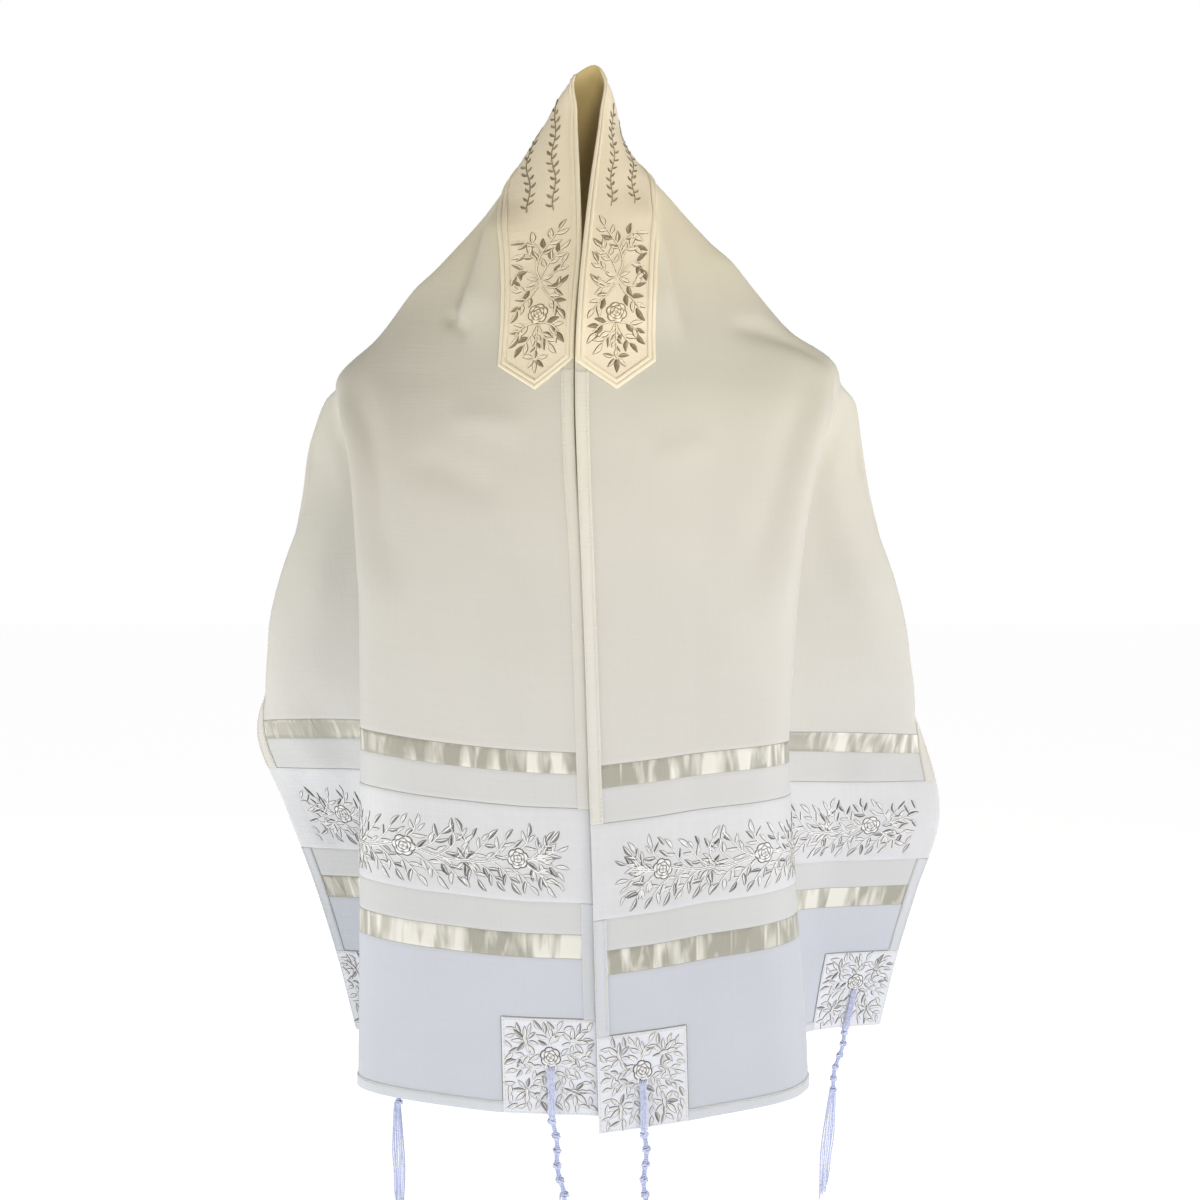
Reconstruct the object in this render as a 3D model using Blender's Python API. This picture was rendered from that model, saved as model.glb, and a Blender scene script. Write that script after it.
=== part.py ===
"""A tallit (prayer shawl) that hangs by the middle of its collar edge.

The cloth is one long strip with two short ends. Held at the middle of one long
edge, it makes a pointed hood at the top. Its two halves fall from the shoulder
tips as hollow folded legs: a front panel, a side wall and a wing behind it.

A place on the cloth is given flat, as it was cut: "along" is the distance from
the centre line, less than 0 on the left, and "across" is the distance from the
collar edge. cloth_points() takes both to the hanging cloth. Every cut piece is
a wall on that one surface, and what is sewn on a panel is its points moved out.

Frame: +X to the right as the shawl is faced, +Y to its back, +Z up. The origin
is the held point, the middle of the collar edge. All sizes are in millimetres,
and MM takes them to metres.
"""
from collections import namedtuple

import bmesh
import bpy
import numpy as np

MM = 0.001

# The cut of the cloth.
CLOTH_WIDTH = 500.0
HALF_LENGTH = 1000.0
CLOTH_THICKNESS = 1.2
SEAM_GAP = 0.3
LAYER_THICKNESS = 1.1

# The end stripes, each by its distance from the short edge.
SATIN_UPPER_TOP = 318.0
PLAIN_UPPER_TOP = 299.0
BAND_TOP = 269.0
PLAIN_LOWER_TOP = 186.0
SATIN_LOWER_TOP = 158.0
END_PANEL_TOP = 137.0

# What is sewn on the panels.
HEM_WIDTH = 12.0
BOTTOM_HEM_WIDTH = 10.0
SQUARE_SIDE = 84.0
EYELET_SIDE = 8.0
ATARAH_WIDTH = 75.0
ATARAH_HALF = 335.0
ATARAH_POINT = 25.0
ATARAH_BORDER = 8.0
COLLAR_HEM_START = ATARAH_HALF + 8.5

# The corner tassels: a strap through the eyelet, a knotted stem and 8 strings.
STRAP_WIDTH = 6.0
STRAP_THICKNESS = 1.6
STRAP_CLEARANCE = 1.0
STEM_DROP = 6.0
STEM_LENGTH = 64.0
STEM_RADIUS = 2.6
KNOT_SWELL = 1.5
KNOT_COUNT = 5
STEM_SWAY = 1.6
STEM_SWAY_EVERY = 9.0
HEAD_FILL = 0.9
FOOT_SCALE = 0.8
STRING_LENGTH = 118.0
STRING_THICKNESS = 1.28
STRING_PARTS = [0.05, 0.3, 0.6, 1.0]
STRING_SPREAD_AT_ROOT = 1.2
STRING_SPREAD = 2.4
STRING_LENGTHS_DIFFER = 0.03
STRING_LEAN = 0.4

# How far the front panels swell out, and sag, between collar edge and crease.
FRONT_SWELL = 11.0
LEFT_SAG = 3.5
RIGHT_SAG = -1.5
SWELL_STARTS_FULL_AT = 140.0

Section = namedtuple("Section", "along edge crease side valley wing far")
Point = namedtuple("Point", "x back down")
Fold = namedtuple("Fold", "across x back down")

# One row for each section across the cloth, from the peak to the short edge.
# edge and far are the long edges. crease is the ridge of the hood and then the
# front crease, side the wall behind it, valley the deepest fold between the
# front panel and the wing, and wing the outermost fold.
CENTRE_SECTION = Section(
    0, Point(0, 0, 0), Fold(17, 0, 7, 15), Fold(110, 0, 40, 102),
    Fold(200, 0, 74, 186), Fold(360, 0, 120, 339), Point(0, 152, 475))

RIGHT_SECTIONS = [
    Section(20, Point(8, -4, 14), Fold(18, 12, 1, 20), Fold(110, 15, 34, 106),
            Fold(200, 16, 68, 188), Fold(360, 18, 118, 340), Point(20, 152, 475)),
    Section(60, Point(5, -16, 52), Fold(42, 23, -1, 67), Fold(115, 36, 23, 124),
            Fold(200, 44, 54, 192), Fold(360, 54, 111, 342), Point(60, 149, 473)),
    Section(140, Point(-4, -43, 127), Fold(98, 77, -3, 137), Fold(150, 98, 12, 184),
            Fold(225, 110, 42, 252), Fold(370, 130, 99, 366), Point(137, 138, 462)),
    Section(220, Point(-11, -75, 201), Fold(160, 132, -6, 198), Fold(202, 160, 4, 232),
            Fold(255, 186, 22, 292), Fold(380, 210, 70, 384), Point(206, 116, 438)),
    Section(300, Point(-16, -103, 277), Fold(227, 197, -9, 270), Fold(257, 218, 2, 290),
            Fold(292, 235, 12, 304), Fold(400, 254, 36, 336), Point(242, 82, 390)),
    Section(330, Point(-17, -109, 309), Fold(262, 234, -11, 298), Fold(282, 239, -1, 308),
            Fold(306, 244, 8, 316), Fold(406, 263, 34, 333), Point(247, 76, 372)),
    Section(360, Point(-17, -115, 340), Fold(252, 228, -29, 331), Fold(276, 232, -13, 337),
            Fold(304, 236, 8, 343), Fold(412, 270, 42, 362), Point(250, 76, 374)),
    Section(430, Point(-15, -119, 411), Fold(234, 209, -48, 397), Fold(262, 211, -22, 401),
            Fold(302, 200, 13, 406), Fold(424, 282, 52, 416), Point(256, 88, 420)),
    Section(500, Point(-12, -120, 482), Fold(222, 195, -58, 466), Fold(262, 195, -18, 469),
            Fold(304, 178, 22, 472), Fold(438, 302, 66, 474), Point(264, 104, 478)),
    Section(600, Point(-8, -121, 586), Fold(206, 183, -66, 568), Fold(254, 187, -18, 570),
            Fold(302, 172, 28, 573), Fold(460, 330, 88, 578), Point(306, 108, 582)),
    Section(690, Point(-5, -121, 680), Fold(192, 175, -70, 664), Fold(248, 183, -16, 666),
            Fold(304, 168, 36, 668), Fold(470, 334, 100, 677), Point(353, 105, 678)),
    Section(770, Point(-2, -121, 762), Fold(192, 177, -71, 744), Fold(250, 188, -16, 747),
            Fold(308, 178, 34, 750), Fold(400, 256, 80, 756), Point(369, 105, 757)),
    Section(850, Point(0, -121, 842), Fold(192, 180, -72, 824), Fold(252, 192, -15, 828),
            Fold(312, 162, 32, 832), Fold(404, 248, 84, 837), Point(344, 105, 838)),
    Section(920, Point(2, -121, 912), Fold(193, 183, -76, 897), Fold(252, 198, -17, 902),
            Fold(314, 152, 29, 904), Fold(406, 234, 86, 904), Point(324, 105, 904)),
    Section(1000, Point(4, -121, 992), Fold(194, 186, -80, 976), Fold(252, 201, -20, 986),
            Fold(316, 146, 26, 984), Fold(412, 226, 90, 982), Point(305, 105, 980)),
]

LEFT_SECTIONS = [
    Section(20, Point(-17, -3, 10), Fold(15, -20, 1, 17), Fold(110, -17, 34, 106),
            Fold(200, -17, 68, 188), Fold(360, -18, 118, 340), Point(-20, 152, 475)),
    Section(60, Point(-17, -14, 50), Fold(34, -45, -1, 57), Fold(110, -48, 25, 119),
            Fold(200, -46, 54, 192), Fold(360, -54, 111, 342), Point(-60, 149, 473)),
    Section(140, Point(-14, -41, 125), Fold(84, -98, -3, 138), Fold(145, -108, 12, 190),
            Fold(225, -113, 42, 256), Fold(370, -130, 99, 366), Point(-137, 138, 462)),
    Section(220, Point(-12, -70, 199), Fold(150, -159, -7, 209), Fold(195, -184, 3, 240),
            Fold(250, -194, 20, 292), Fold(380, -214, 70, 384), Point(-208, 116, 438)),
    Section(300, Point(-17, -98, 274), Fold(214, -212, -9, 272), Fold(246, -234, 2, 294),
            Fold(285, -246, 11, 308), Fold(400, -263, 35, 338), Point(-249, 81, 392)),
    Section(330, Point(-18, -105, 306), Fold(250, -248, -11, 307), Fold(272, -253, -1, 316),
            Fold(300, -256, 8, 319), Fold(406, -273, 34, 334), Point(-253, 75, 373)),
    Section(360, Point(-18, -111, 337), Fold(242, -243, -29, 336), Fold(266, -247, -12, 342),
            Fold(298, -250, 6, 344), Fold(412, -287, 42, 361), Point(-257, 75, 374)),
    Section(430, Point(-16, -115, 407), Fold(222, -224, -62, 396), Fold(254, -227, -32, 400),
            Fold(300, -212, 8, 406), Fold(424, -300, 50, 418), Point(-262, 84, 420)),
    Section(500, Point(-11, -116, 478), Fold(209, -214, -82, 462), Fold(250, -214, -42, 464),
            Fold(302, -190, 6, 466), Fold(440, -315, 60, 472), Point(-268, 98, 478)),
    Section(600, Point(-7, -117, 578), Fold(206, -210, -94, 560), Fold(250, -213, -50, 562),
            Fold(306, -184, 6, 564), Fold(464, -340, 76, 568), Point(-319, 99, 572)),
    Section(690, Point(-4, -117, 668), Fold(205, -208, -97, 648), Fold(252, -213, -50, 650),
            Fold(312, -184, 8, 654), Fold(470, -336, 80, 659), Point(-358, 90, 661)),
    Section(770, Point(-1, -117, 748), Fold(207, -208, -97, 728), Fold(254, -212, -50, 731),
            Fold(318, -164, 2, 735), Fold(412, -245, 60, 740), Point(-328, 87, 741)),
    Section(850, Point(1, -117, 828), Fold(209, -209, -97, 808), Fold(256, -210, -50, 812),
            Fold(326, -146, -6, 816), Fold(420, -220, 48, 818), Point(-293, 72, 820)),
    Section(920, Point(3, -117, 898), Fold(212, -210, -97, 879), Fold(260, -207, -51, 884),
            Fold(336, -128, -14, 888), Fold(426, -204, 35, 888), Point(-265, 52, 888)),
    Section(1000, Point(5, -117, 978), Fold(215, -211, -97, 959), Fold(264, -203, -54, 964),
            Fold(346, -110, -20, 966), Fold(432, -178, 22, 962), Point(-241, 32, 958)),
]

# Lines across and along the cloth on which its walls have their points.
ACROSS_INNER = [104, 126, 148, 168, 186, 204, 222, 240, 258, 278, 300, 322, 344, 364, 382, 398]
CENTRE_STEP = 28.0
BODY_STEP = 40.0
BAND_STEP = 28.0

# Named colours, linear, with a roughness for each cloth.
CREAM_WOOL = ((0.60, 0.57, 0.48), 0.85)
WHITE_WOOL = ((0.62, 0.63, 0.64), 0.85)
SATIN = ((0.52, 0.50, 0.42), 0.35)
SILK = ((0.66, 0.66, 0.65), 0.55)
COLLAR_SILK = ((0.70, 0.64, 0.50), 0.55)
CORD_WHITE = ((0.62, 0.66, 0.80), 0.80)

Tassel = namedtuple("Tassel", "name side across lean_x lean_back")
TASSELS = [
    Tassel("tzitzit_front_left", -1, SQUARE_SIDE / 2, 0.16, -0.04),
    Tassel("tzitzit_front_right", 1, SQUARE_SIDE / 2, 0.03, -0.06),
    Tassel("tzitzit_wing_left", -1, CLOTH_WIDTH - SQUARE_SIDE / 2, 0.02, 0.04),
    Tassel("tzitzit_wing_right", 1, CLOTH_WIDTH - SQUARE_SIDE / 2, -0.20, 0.05),
]


# ---------------------------------------------------------------- the surface
def smooth_through(knots, values, wanted):
    """Value at each wanted place of a smooth curve through values at knots."""
    knots = np.asarray(knots, float)
    values = np.asarray(values, float)
    span = np.diff(knots)
    rise = np.diff(values, axis=0) / span[:, None]
    slope = np.empty_like(values)
    slope[0] = rise[0]
    slope[-1] = rise[-1]
    weight = (span[:-1] + span[1:])[:, None]
    slope[1:-1] = (rise[:-1] * span[1:, None] + rise[1:] * span[:-1, None]) / weight
    left = np.clip(np.searchsorted(knots, wanted, side="right") - 1, 0, len(span) - 1)
    width = span[left][:, None]
    part = ((np.asarray(wanted, float) - knots[left]) / span[left])[:, None]
    return ((2 * part**3 - 3 * part**2 + 1) * values[left]
            + (part**3 - 2 * part**2 + part) * width * slope[left]
            + (3 * part**2 - 2 * part**3) * values[left + 1]
            + (part**3 - part**2) * width * slope[left + 1])


def section_row(section, side):
    """The section's signed place along, then four numbers for each guide."""
    row = [section.along * side]
    for guide in section[1:]:
        across = getattr(guide, "across", 0.0)
        row += [across, guide.x, guide.back, -guide.down]
    return row


def section_table():
    """All sections from the left short edge to the right one."""
    left = [section_row(section, -1) for section in reversed(LEFT_SECTIONS)]
    right = [section_row(section, 1) for section in RIGHT_SECTIONS]
    return np.array(left + [section_row(CENTRE_SECTION, 1)] + right)


SECTION_TABLE = section_table()


def cloth_points(along, across):
    """Points of the hanging cloth, one row for each place along."""
    along = np.asarray(along, float)
    across = np.asarray(across, float)
    guides = smooth_through(SECTION_TABLE[:, 0], SECTION_TABLE[:, 1:], along)
    guides = guides.reshape(len(along), -1, 4)
    points = np.empty((len(along), len(across), 3))
    for index, place in enumerate(along):
        edge, crease, side, valley, wing, far = guides[index]
        full = min(1.0, abs(place) / SWELL_STARTS_FULL_AT)
        sag = LEFT_SAG if place < 0 else RIGHT_SAG
        middle = (edge + crease) / 2 - full * np.array([0, 0, FRONT_SWELL, sag])
        knots = [0, crease[0] / 2, crease[0], side[0], valley[0], wing[0], CLOTH_WIDTH]
        places = [g[1:] for g in (edge, middle, crease, side, valley, wing, far)]
        points[index] = smooth_through(knots, places, across)
    return points


def cloth_normals(along, across):
    """Unit directions out of the cloth's face at the same places."""
    step = 1.5
    along = np.asarray(along, float)
    across = np.asarray(across, float)
    with_along = cloth_points(along + step, across) - cloth_points(along - step, across)
    ahead = np.minimum(across + step, CLOTH_WIDTH)
    behind = np.maximum(across - step, 0)
    with_across = cloth_points(along, ahead) - cloth_points(along, behind)
    normal = np.cross(with_along, with_across)
    return normal / np.linalg.norm(normal, axis=2, keepdims=True)


def layer(along, across, height):
    """The cloth's points moved out of its face by height."""
    return cloth_points(along, across) + height * cloth_normals(along, across)


# ------------------------------------------------------------------- meshes
def material(name, finish):
    """A cloth material of the finish's colour and roughness."""
    colour, roughness = finish
    made = bpy.data.materials.new(name)
    made.use_nodes = True
    shader = made.node_tree.nodes["Principled BSDF"]
    shader.inputs["Base Color"].default_value = (*colour, 1.0)
    shader.inputs["Roughness"].default_value = roughness
    shader.inputs["Metallic"].default_value = 0.0
    return made


def add_object(name, points, faces, finish):
    """One named object from points in millimetres and faces."""
    mesh = bpy.data.meshes.new(name)
    mesh.from_pydata([tuple(p * MM) for p in np.asarray(points)], [], faces)
    tidy = bmesh.new()
    tidy.from_mesh(mesh)
    bmesh.ops.recalc_face_normals(tidy, faces=tidy.faces)
    tidy.to_mesh(mesh)
    tidy.free()
    mesh.materials.append(material(name + "_finish", finish))
    made = bpy.data.objects.new(name, mesh)
    bpy.context.collection.objects.link(made)
    return made


def wall(name, along, across, inner, outer, finish, holes=()):
    """A closed wall over a grid of the cloth, from height inner to outer.

    holes lists the grid cells that are left open, by row and column.
    """
    rows, columns = len(along), len(across)
    low = layer(along, across, inner).reshape(-1, 3)
    high = layer(along, across, outer).reshape(-1, 3)
    top = len(low)
    cells = [(r, c) for r in range(rows - 1) for c in range(columns - 1) if (r, c) not in holes]
    triangles = [t for r, c in cells for t in cell_triangles(along, across, r, c)]
    return closed_between(name, triangles, low, high, top, finish)


def closed_between(name, triangles, low, high, top, finish):
    """Join two copies of a triangulated sheet along all of its open edges.

    Two walls that meet at a seam cut its rim the same way, so it keeps its gap.
    """
    faces = [tuple(reversed(t)) for t in triangles]
    faces += [tuple(corner + top for corner in t) for t in triangles]
    edges = {(t[i], t[(i + 1) % 3]) for t in triangles for i in range(3)}
    for start, end in sorted(edges):
        if (end, start) in edges:
            continue
        if start > end:
            faces += [(start, end, end + top), (start, end + top, start + top)]
        else:
            faces += [(start, end, start + top), (end, end + top, start + top)]
    points = np.vstack([low, high])
    used = sorted({corner for face in faces for corner in face})
    number = {corner: index for index, corner in enumerate(used)}
    faces = [tuple(number[corner] for corner in face) for face in faces]
    return add_object(name, points[used], faces, finish)


def cell_triangles(along, across, row, column):
    """The two triangles of a grid cell, cut in line with the hood's ridge.

    Past the far half of the collar band's point they are cut the other way.
    """
    a, b = row * len(across) + column, row * len(across) + column + 1
    d, e = a + len(across), b + len(across)
    middle = (along[row] + along[row + 1]) / 2
    beside_tip = ATARAH_HALF < abs(middle) < ATARAH_TIP
    beside_tip = beside_tip and ATARAH_WIDTH / 2 < sum(across[column:column + 2]) / 2 < ATARAH_WIDTH
    if (middle < 0) != beside_tip:
        return [(a, b, d), (b, e, d)]
    return [(a, b, e), (a, e, d)]


def lines_between(start, end, step):
    """Even lines from start to end, about step apart."""
    count = max(1, round(abs(end - start) / step))
    return [start + (end - start) * i / count for i in range(count + 1)]


def ends_drawn_in(lines, first=True, last=True):
    """The same lines with half a seam gap taken off the ends that are sewn."""
    lines = sorted(lines)
    lines[0] += SEAM_GAP / 2 if first else 0.0
    lines[-1] -= SEAM_GAP / 2 if last else 0.0
    return lines


# ------------------------------------------------------------- the flat cut
SQUARE_TOP = HALF_LENGTH - SQUARE_SIDE
SQUARE_MIDDLE = HALF_LENGTH - SQUARE_SIDE / 2
EYELET = [SQUARE_MIDDLE - EYELET_SIDE / 2, SQUARE_MIDDLE + EYELET_SIDE / 2]
NEAR_EYELET = [SQUARE_SIDE / 2 - EYELET_SIDE / 2, SQUARE_SIDE / 2 + EYELET_SIDE / 2]
FAR_EYELET = [CLOTH_WIDTH - place for place in reversed(NEAR_EYELET)]
NEAR_SQUARE = [0, HEM_WIDTH, *NEAR_EYELET, SQUARE_SIDE]
FAR_SQUARE = [CLOTH_WIDTH - place for place in reversed(NEAR_SQUARE)]
END_ACROSS = NEAR_SQUARE + ACROSS_INNER + FAR_SQUARE
ATARAH_ACROSS = [0, ATARAH_BORDER, HEM_WIDTH, ATARAH_WIDTH / 2, ATARAH_WIDTH - ATARAH_BORDER,
                 ATARAH_WIDTH]
CENTRE_ACROSS = sorted([*ATARAH_ACROSS, SQUARE_SIDE, *ACROSS_INNER, *FAR_SQUARE])
ATARAH_ALONG = lines_between(0, ATARAH_HALF - ATARAH_BORDER, CENTRE_STEP)
HOOD_LINE = ATARAH_ALONG[5]
ATARAH_TIP = ATARAH_HALF + ATARAH_POINT
SATIN_UPPER_LINE = HALF_LENGTH - SATIN_UPPER_TOP
BAND_LINES = [HALF_LENGTH - BAND_TOP, HALF_LENGTH - PLAIN_LOWER_TOP]
BODY_ALONG = lines_between(ATARAH_TIP, SATIN_UPPER_LINE, BODY_STEP)
CENTRE_HALF = ATARAH_ALONG + [ATARAH_HALF] + BODY_ALONG
BODY_LINE = BODY_ALONG[2]
END_ALONG = [HALF_LENGTH - END_PANEL_TOP, (HALF_LENGTH - END_PANEL_TOP + SQUARE_TOP) / 2,
             SQUARE_TOP, *EYELET, HALF_LENGTH - BOTTOM_HEM_WIDTH, HALF_LENGTH]
WALL_HEIGHTS = (-CLOTH_THICKNESS / 2, CLOTH_THICKNESS / 2)
FIRST_LAYER = (CLOTH_THICKNESS / 2 + SEAM_GAP, CLOTH_THICKNESS / 2 + SEAM_GAP + LAYER_THICKNESS)
SECOND_LAYER = (FIRST_LAYER[1] + SEAM_GAP, FIRST_LAYER[1] + SEAM_GAP + LAYER_THICKNESS)


def mirrored(lines):
    """The same lines on both sides of the centre line."""
    return sorted({-line for line in lines} | set(lines))


def on_side(lines, side):
    """Lines along the right half, or their mirror on the left half."""
    return sorted(side * line for line in lines)


def eyelet_cells(along, across):
    """The grid cells of the eyelets through a corner."""
    cells = set()
    for r in range(len(along) - 1):
        for c in range(len(across) - 1):
            in_along = EYELET[0] < abs(along[r] + along[r + 1]) / 2 < EYELET[1]
            middle = (across[c] + across[c + 1]) / 2
            in_near = NEAR_EYELET[0] < middle < NEAR_EYELET[1]
            in_far = FAR_EYELET[0] < middle < FAR_EYELET[1]
            if in_along and (in_near or in_far):
                cells.add((r, c))
    return cells


# ------------------------------------------------------------- panels, hems
def between(lines, start, end):
    """The lines from start to end."""
    return [line for line in lines if start <= line <= end]


def build_panels():
    """The hood, shoulders and body, and each end's stripes, band and panel."""
    hood = ends_drawn_in(mirrored(between(CENTRE_HALF, 0, HOOD_LINE)))
    wall("hood_panel", hood, CENTRE_ACROSS, *WALL_HEIGHTS, CREAM_WOOL)
    stretches = [("shoulder_panel", HOOD_LINE, BODY_LINE), ("body_panel", BODY_LINE, SATIN_UPPER_LINE)]
    stripes = [
        ("satin_upper", SATIN_UPPER_TOP, PLAIN_UPPER_TOP, SATIN),
        ("plain_upper", PLAIN_UPPER_TOP, BAND_TOP, SILK),
        ("embroidered_band", BAND_TOP, PLAIN_LOWER_TOP, SILK),
        ("plain_lower", PLAIN_LOWER_TOP, SATIN_LOWER_TOP, SILK),
        ("satin_lower", SATIN_LOWER_TOP, END_PANEL_TOP, SATIN),
    ]
    for side, word in ((-1, "left"), (1, "right")):
        for name, start, end in stretches:
            along = ends_drawn_in(on_side(between(CENTRE_HALF, start, end), side))
            wall(f"{name}_{word}", along, CENTRE_ACROSS, *WALL_HEIGHTS, CREAM_WOOL)
        for name, top, bottom, finish in stripes:
            lines = lines_between(HALF_LENGTH - top, HALF_LENGTH - bottom, BAND_STEP)
            along = ends_drawn_in(on_side(lines, side))
            wall(f"{name}_{word}", along, END_ACROSS, *WALL_HEIGHTS, finish)
        along = ends_drawn_in(on_side(END_ALONG, side), first=side > 0, last=side < 0)
        wall(f"end_panel_{word}", along, END_ACROSS, *WALL_HEIGHTS, WHITE_WOOL,
             eyelet_cells(along, END_ACROSS))


def build_hems():
    """Hem strips on the face along the long edges and the short edges."""
    near, far = [0, HEM_WIDTH], [CLOTH_WIDTH - HEM_WIDTH, CLOTH_WIDTH]
    upper = [line for line in CENTRE_HALF if line > COLLAR_HEM_START]
    to_band = [HALF_LENGTH - PLAIN_UPPER_TOP, BAND_LINES[0]]
    from_band = [BAND_LINES[1], HALF_LENGTH - SATIN_LOWER_TOP, END_ALONG[0], END_ALONG[1], SQUARE_TOP]
    bottom = [HALF_LENGTH - BOTTOM_HEM_WIDTH, HALF_LENGTH]
    back = ends_drawn_in(mirrored(CENTRE_HALF + to_band))
    wall("far_hem", back, far, *FIRST_LAYER, CREAM_WOOL)
    for side, word in ((-1, "left"), (1, "right")):
        collar = ends_drawn_in(on_side([COLLAR_HEM_START] + upper + to_band, side))
        wall(f"collar_hem_{word}", collar, near, *FIRST_LAYER, CREAM_WOOL)
        lower = ends_drawn_in(on_side(from_band, side))
        wall(f"front_hem_{word}", lower, near, *FIRST_LAYER, WHITE_WOOL)
        wall(f"wing_hem_{word}", lower, far, *FIRST_LAYER, WHITE_WOOL)
        across = ends_drawn_in([SQUARE_SIDE, *ACROSS_INNER, CLOTH_WIDTH - SQUARE_SIDE])
        wall(f"bottom_hem_{word}", on_side(bottom, side), across, *FIRST_LAYER, WHITE_WOOL)


def build_squares():
    """The four corner squares, each with its eyelet."""
    lines = [SQUARE_TOP, *EYELET, HALF_LENGTH - BOTTOM_HEM_WIDTH, HALF_LENGTH]
    for side, word in ((-1, "left"), (1, "right")):
        along = ends_drawn_in(on_side(lines, side), first=side > 0, last=side < 0)
        for place, across in (("front", NEAR_SQUARE), ("wing", FAR_SQUARE)):
            wall(f"corner_square_{place}_{word}", along, across, *FIRST_LAYER, SILK,
                 eyelet_cells(along, across))


# ------------------------------------------------------------------- atarah
def pointed_end(across, inset=0.0):
    """How far along the collar band's pointed end lies, or its border's inside."""
    slope = ATARAH_POINT / (ATARAH_WIDTH / 2)
    reach = ATARAH_WIDTH / 2 - abs(across - ATARAH_WIDTH / 2)
    return ATARAH_HALF + slope * reach - inset * (1 + slope**2) ** 0.5


def placed(flat, height):
    """Hanging points of a list of flat (along, across) places."""
    return np.array([layer([along], [across], height)[0, 0] for along, across in flat])


def build_atarah():
    """The collar band with its two pointed ends."""
    rows = mirrored(ATARAH_ALONG + [ATARAH_HALF])
    columns = len(ATARAH_ACROSS)
    flat = [(along, across) for along in rows for across in ATARAH_ACROSS]
    triangles = []
    for r in range(len(rows) - 1):
        for c in range(columns - 1):
            triangles += cell_triangles(rows, ATARAH_ACROSS, r, c)
    for side in (-1, 1):
        tip = len(flat)
        flat.append((side * ATARAH_TIP, ATARAH_WIDTH / 2))
        start = 0 if side < 0 else (len(rows) - 1) * columns
        for c in range(start, start + columns - 1):
            triangles.append((c + 1, c, tip) if side < 0 else (c, c + 1, tip))
    low, high = (placed(flat, height) for height in FIRST_LAYER)
    closed_between("atarah", triangles, low, high, len(flat), COLLAR_SILK)


def build_atarah_border():
    """The binding that frames the collar band, on top of its edge."""
    rows = mirrored(ATARAH_ALONG + [ATARAH_HALF])
    columns = [0, ATARAH_BORDER, ATARAH_WIDTH - ATARAH_BORDER, ATARAH_WIDTH]
    inner_end = pointed_end(ATARAH_BORDER, ATARAH_BORDER)
    flat = []
    for along in rows:
        inside = np.sign(along) * min(abs(along), inner_end)
        flat += [(along, columns[0]), (inside, columns[1]), (inside, columns[2]), (along, columns[3])]
    triangles = []
    for r in range(len(rows) - 1):
        for column in (0, 2):
            triangles += cell_triangles(rows, columns, r, column)
    for side in (-1, 1):
        start = 0 if side < 0 else 4 * (len(rows) - 1)
        tip, inner_tip = len(flat), len(flat) + 1
        flat += [(side * ATARAH_TIP, ATARAH_WIDTH / 2)]
        flat += [(side * pointed_end(ATARAH_WIDTH / 2, ATARAH_BORDER), ATARAH_WIDTH / 2)]
        ends = [(start, start + 1, inner_tip), (start, inner_tip, tip),
                (start + 2, start + 3, tip), (start + 2, tip, inner_tip)]
        triangles += [tuple(reversed(t)) for t in ends] if side < 0 else ends
    low, high = (placed(flat, height) for height in SECOND_LAYER)
    closed_between("atarah_border", triangles, low, high, len(flat), SILK)


# ------------------------------------------------------------------ tassels
STRAP_STEPS = [-0.5, -0.25, 0.0, 0.25, 0.5]
STRAP_FRONT = FIRST_LAYER[1] + STRAP_CLEARANCE + STRAP_THICKNESS / 2
STRAP_BACK = -(CLOTH_THICKNESS / 2 + STRAP_CLEARANCE + STRAP_THICKNESS / 2)
STRAP_MIDDLE = (STRAP_FRONT + STRAP_BACK) / 2


def strap_route():
    """Places along and heights of the strap, up the face and down the back."""
    turn = STRAP_FRONT - STRAP_MIDDLE
    front = [(HALF_LENGTH + 1.0, STRAP_FRONT), (HALF_LENGTH - 14, STRAP_FRONT),
             (HALF_LENGTH - 28, STRAP_FRONT), (SQUARE_MIDDLE + 2.5, STRAP_FRONT)]
    over = [(SQUARE_MIDDLE + 1.0 - 1.4 * np.sin(angle), STRAP_MIDDLE + turn * np.cos(angle))
            for angle in np.radians([50, 90, 130])]
    back = [(along, STRAP_BACK) for along, _ in reversed(front)]
    return front + over + back


class Corner:
    """Directions at the place on the cloth's end that a tassel hangs from."""

    def __init__(self, tassel):
        self.side = tassel.side
        self.across = tassel.across
        end = self.side * HALF_LENGTH
        self.end = layer([end], [self.across], 0.0)[0, 0]
        before = layer([end - self.side * 4.0], [self.across], 0.0)[0, 0]
        beside = layer([end], [self.across + 2.0], 0.0)[0, 0]
        self.down = (self.end - before) / np.linalg.norm(self.end - before)
        self.out = cloth_normals([end], np.array([self.across]))[0, 0]
        self.wide = (beside - self.end) / np.linalg.norm(beside - self.end)

    def at(self, along, height):
        """The point over a place along the corner, past the short edge too."""
        if along <= HALF_LENGTH:
            return layer([self.side * along], [self.across], height)[0, 0]
        return self.end + (along - HALF_LENGTH) * self.down + height * self.out


def strap_rings(corner):
    """Rings of ten points: five on the strap's inside, then five outside."""
    route = strap_route()
    rings = []
    for index in range(len(route)):
        before, after = route[max(index - 1, 0)], route[min(index + 1, len(route) - 1)]
        turn = np.subtract(after, before) / np.linalg.norm(np.subtract(after, before))
        outside = np.array([turn[1], -turn[0]]) * STRAP_THICKNESS / 2
        inner = corner.at(*(route[index] - outside))
        outer = corner.at(*(route[index] + outside))
        wide = [step * STRAP_WIDTH * corner.wide for step in STRAP_STEPS]
        rings.append([inner + w for w in wide] + [outer + w for w in reversed(wide)])
    return rings


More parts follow.
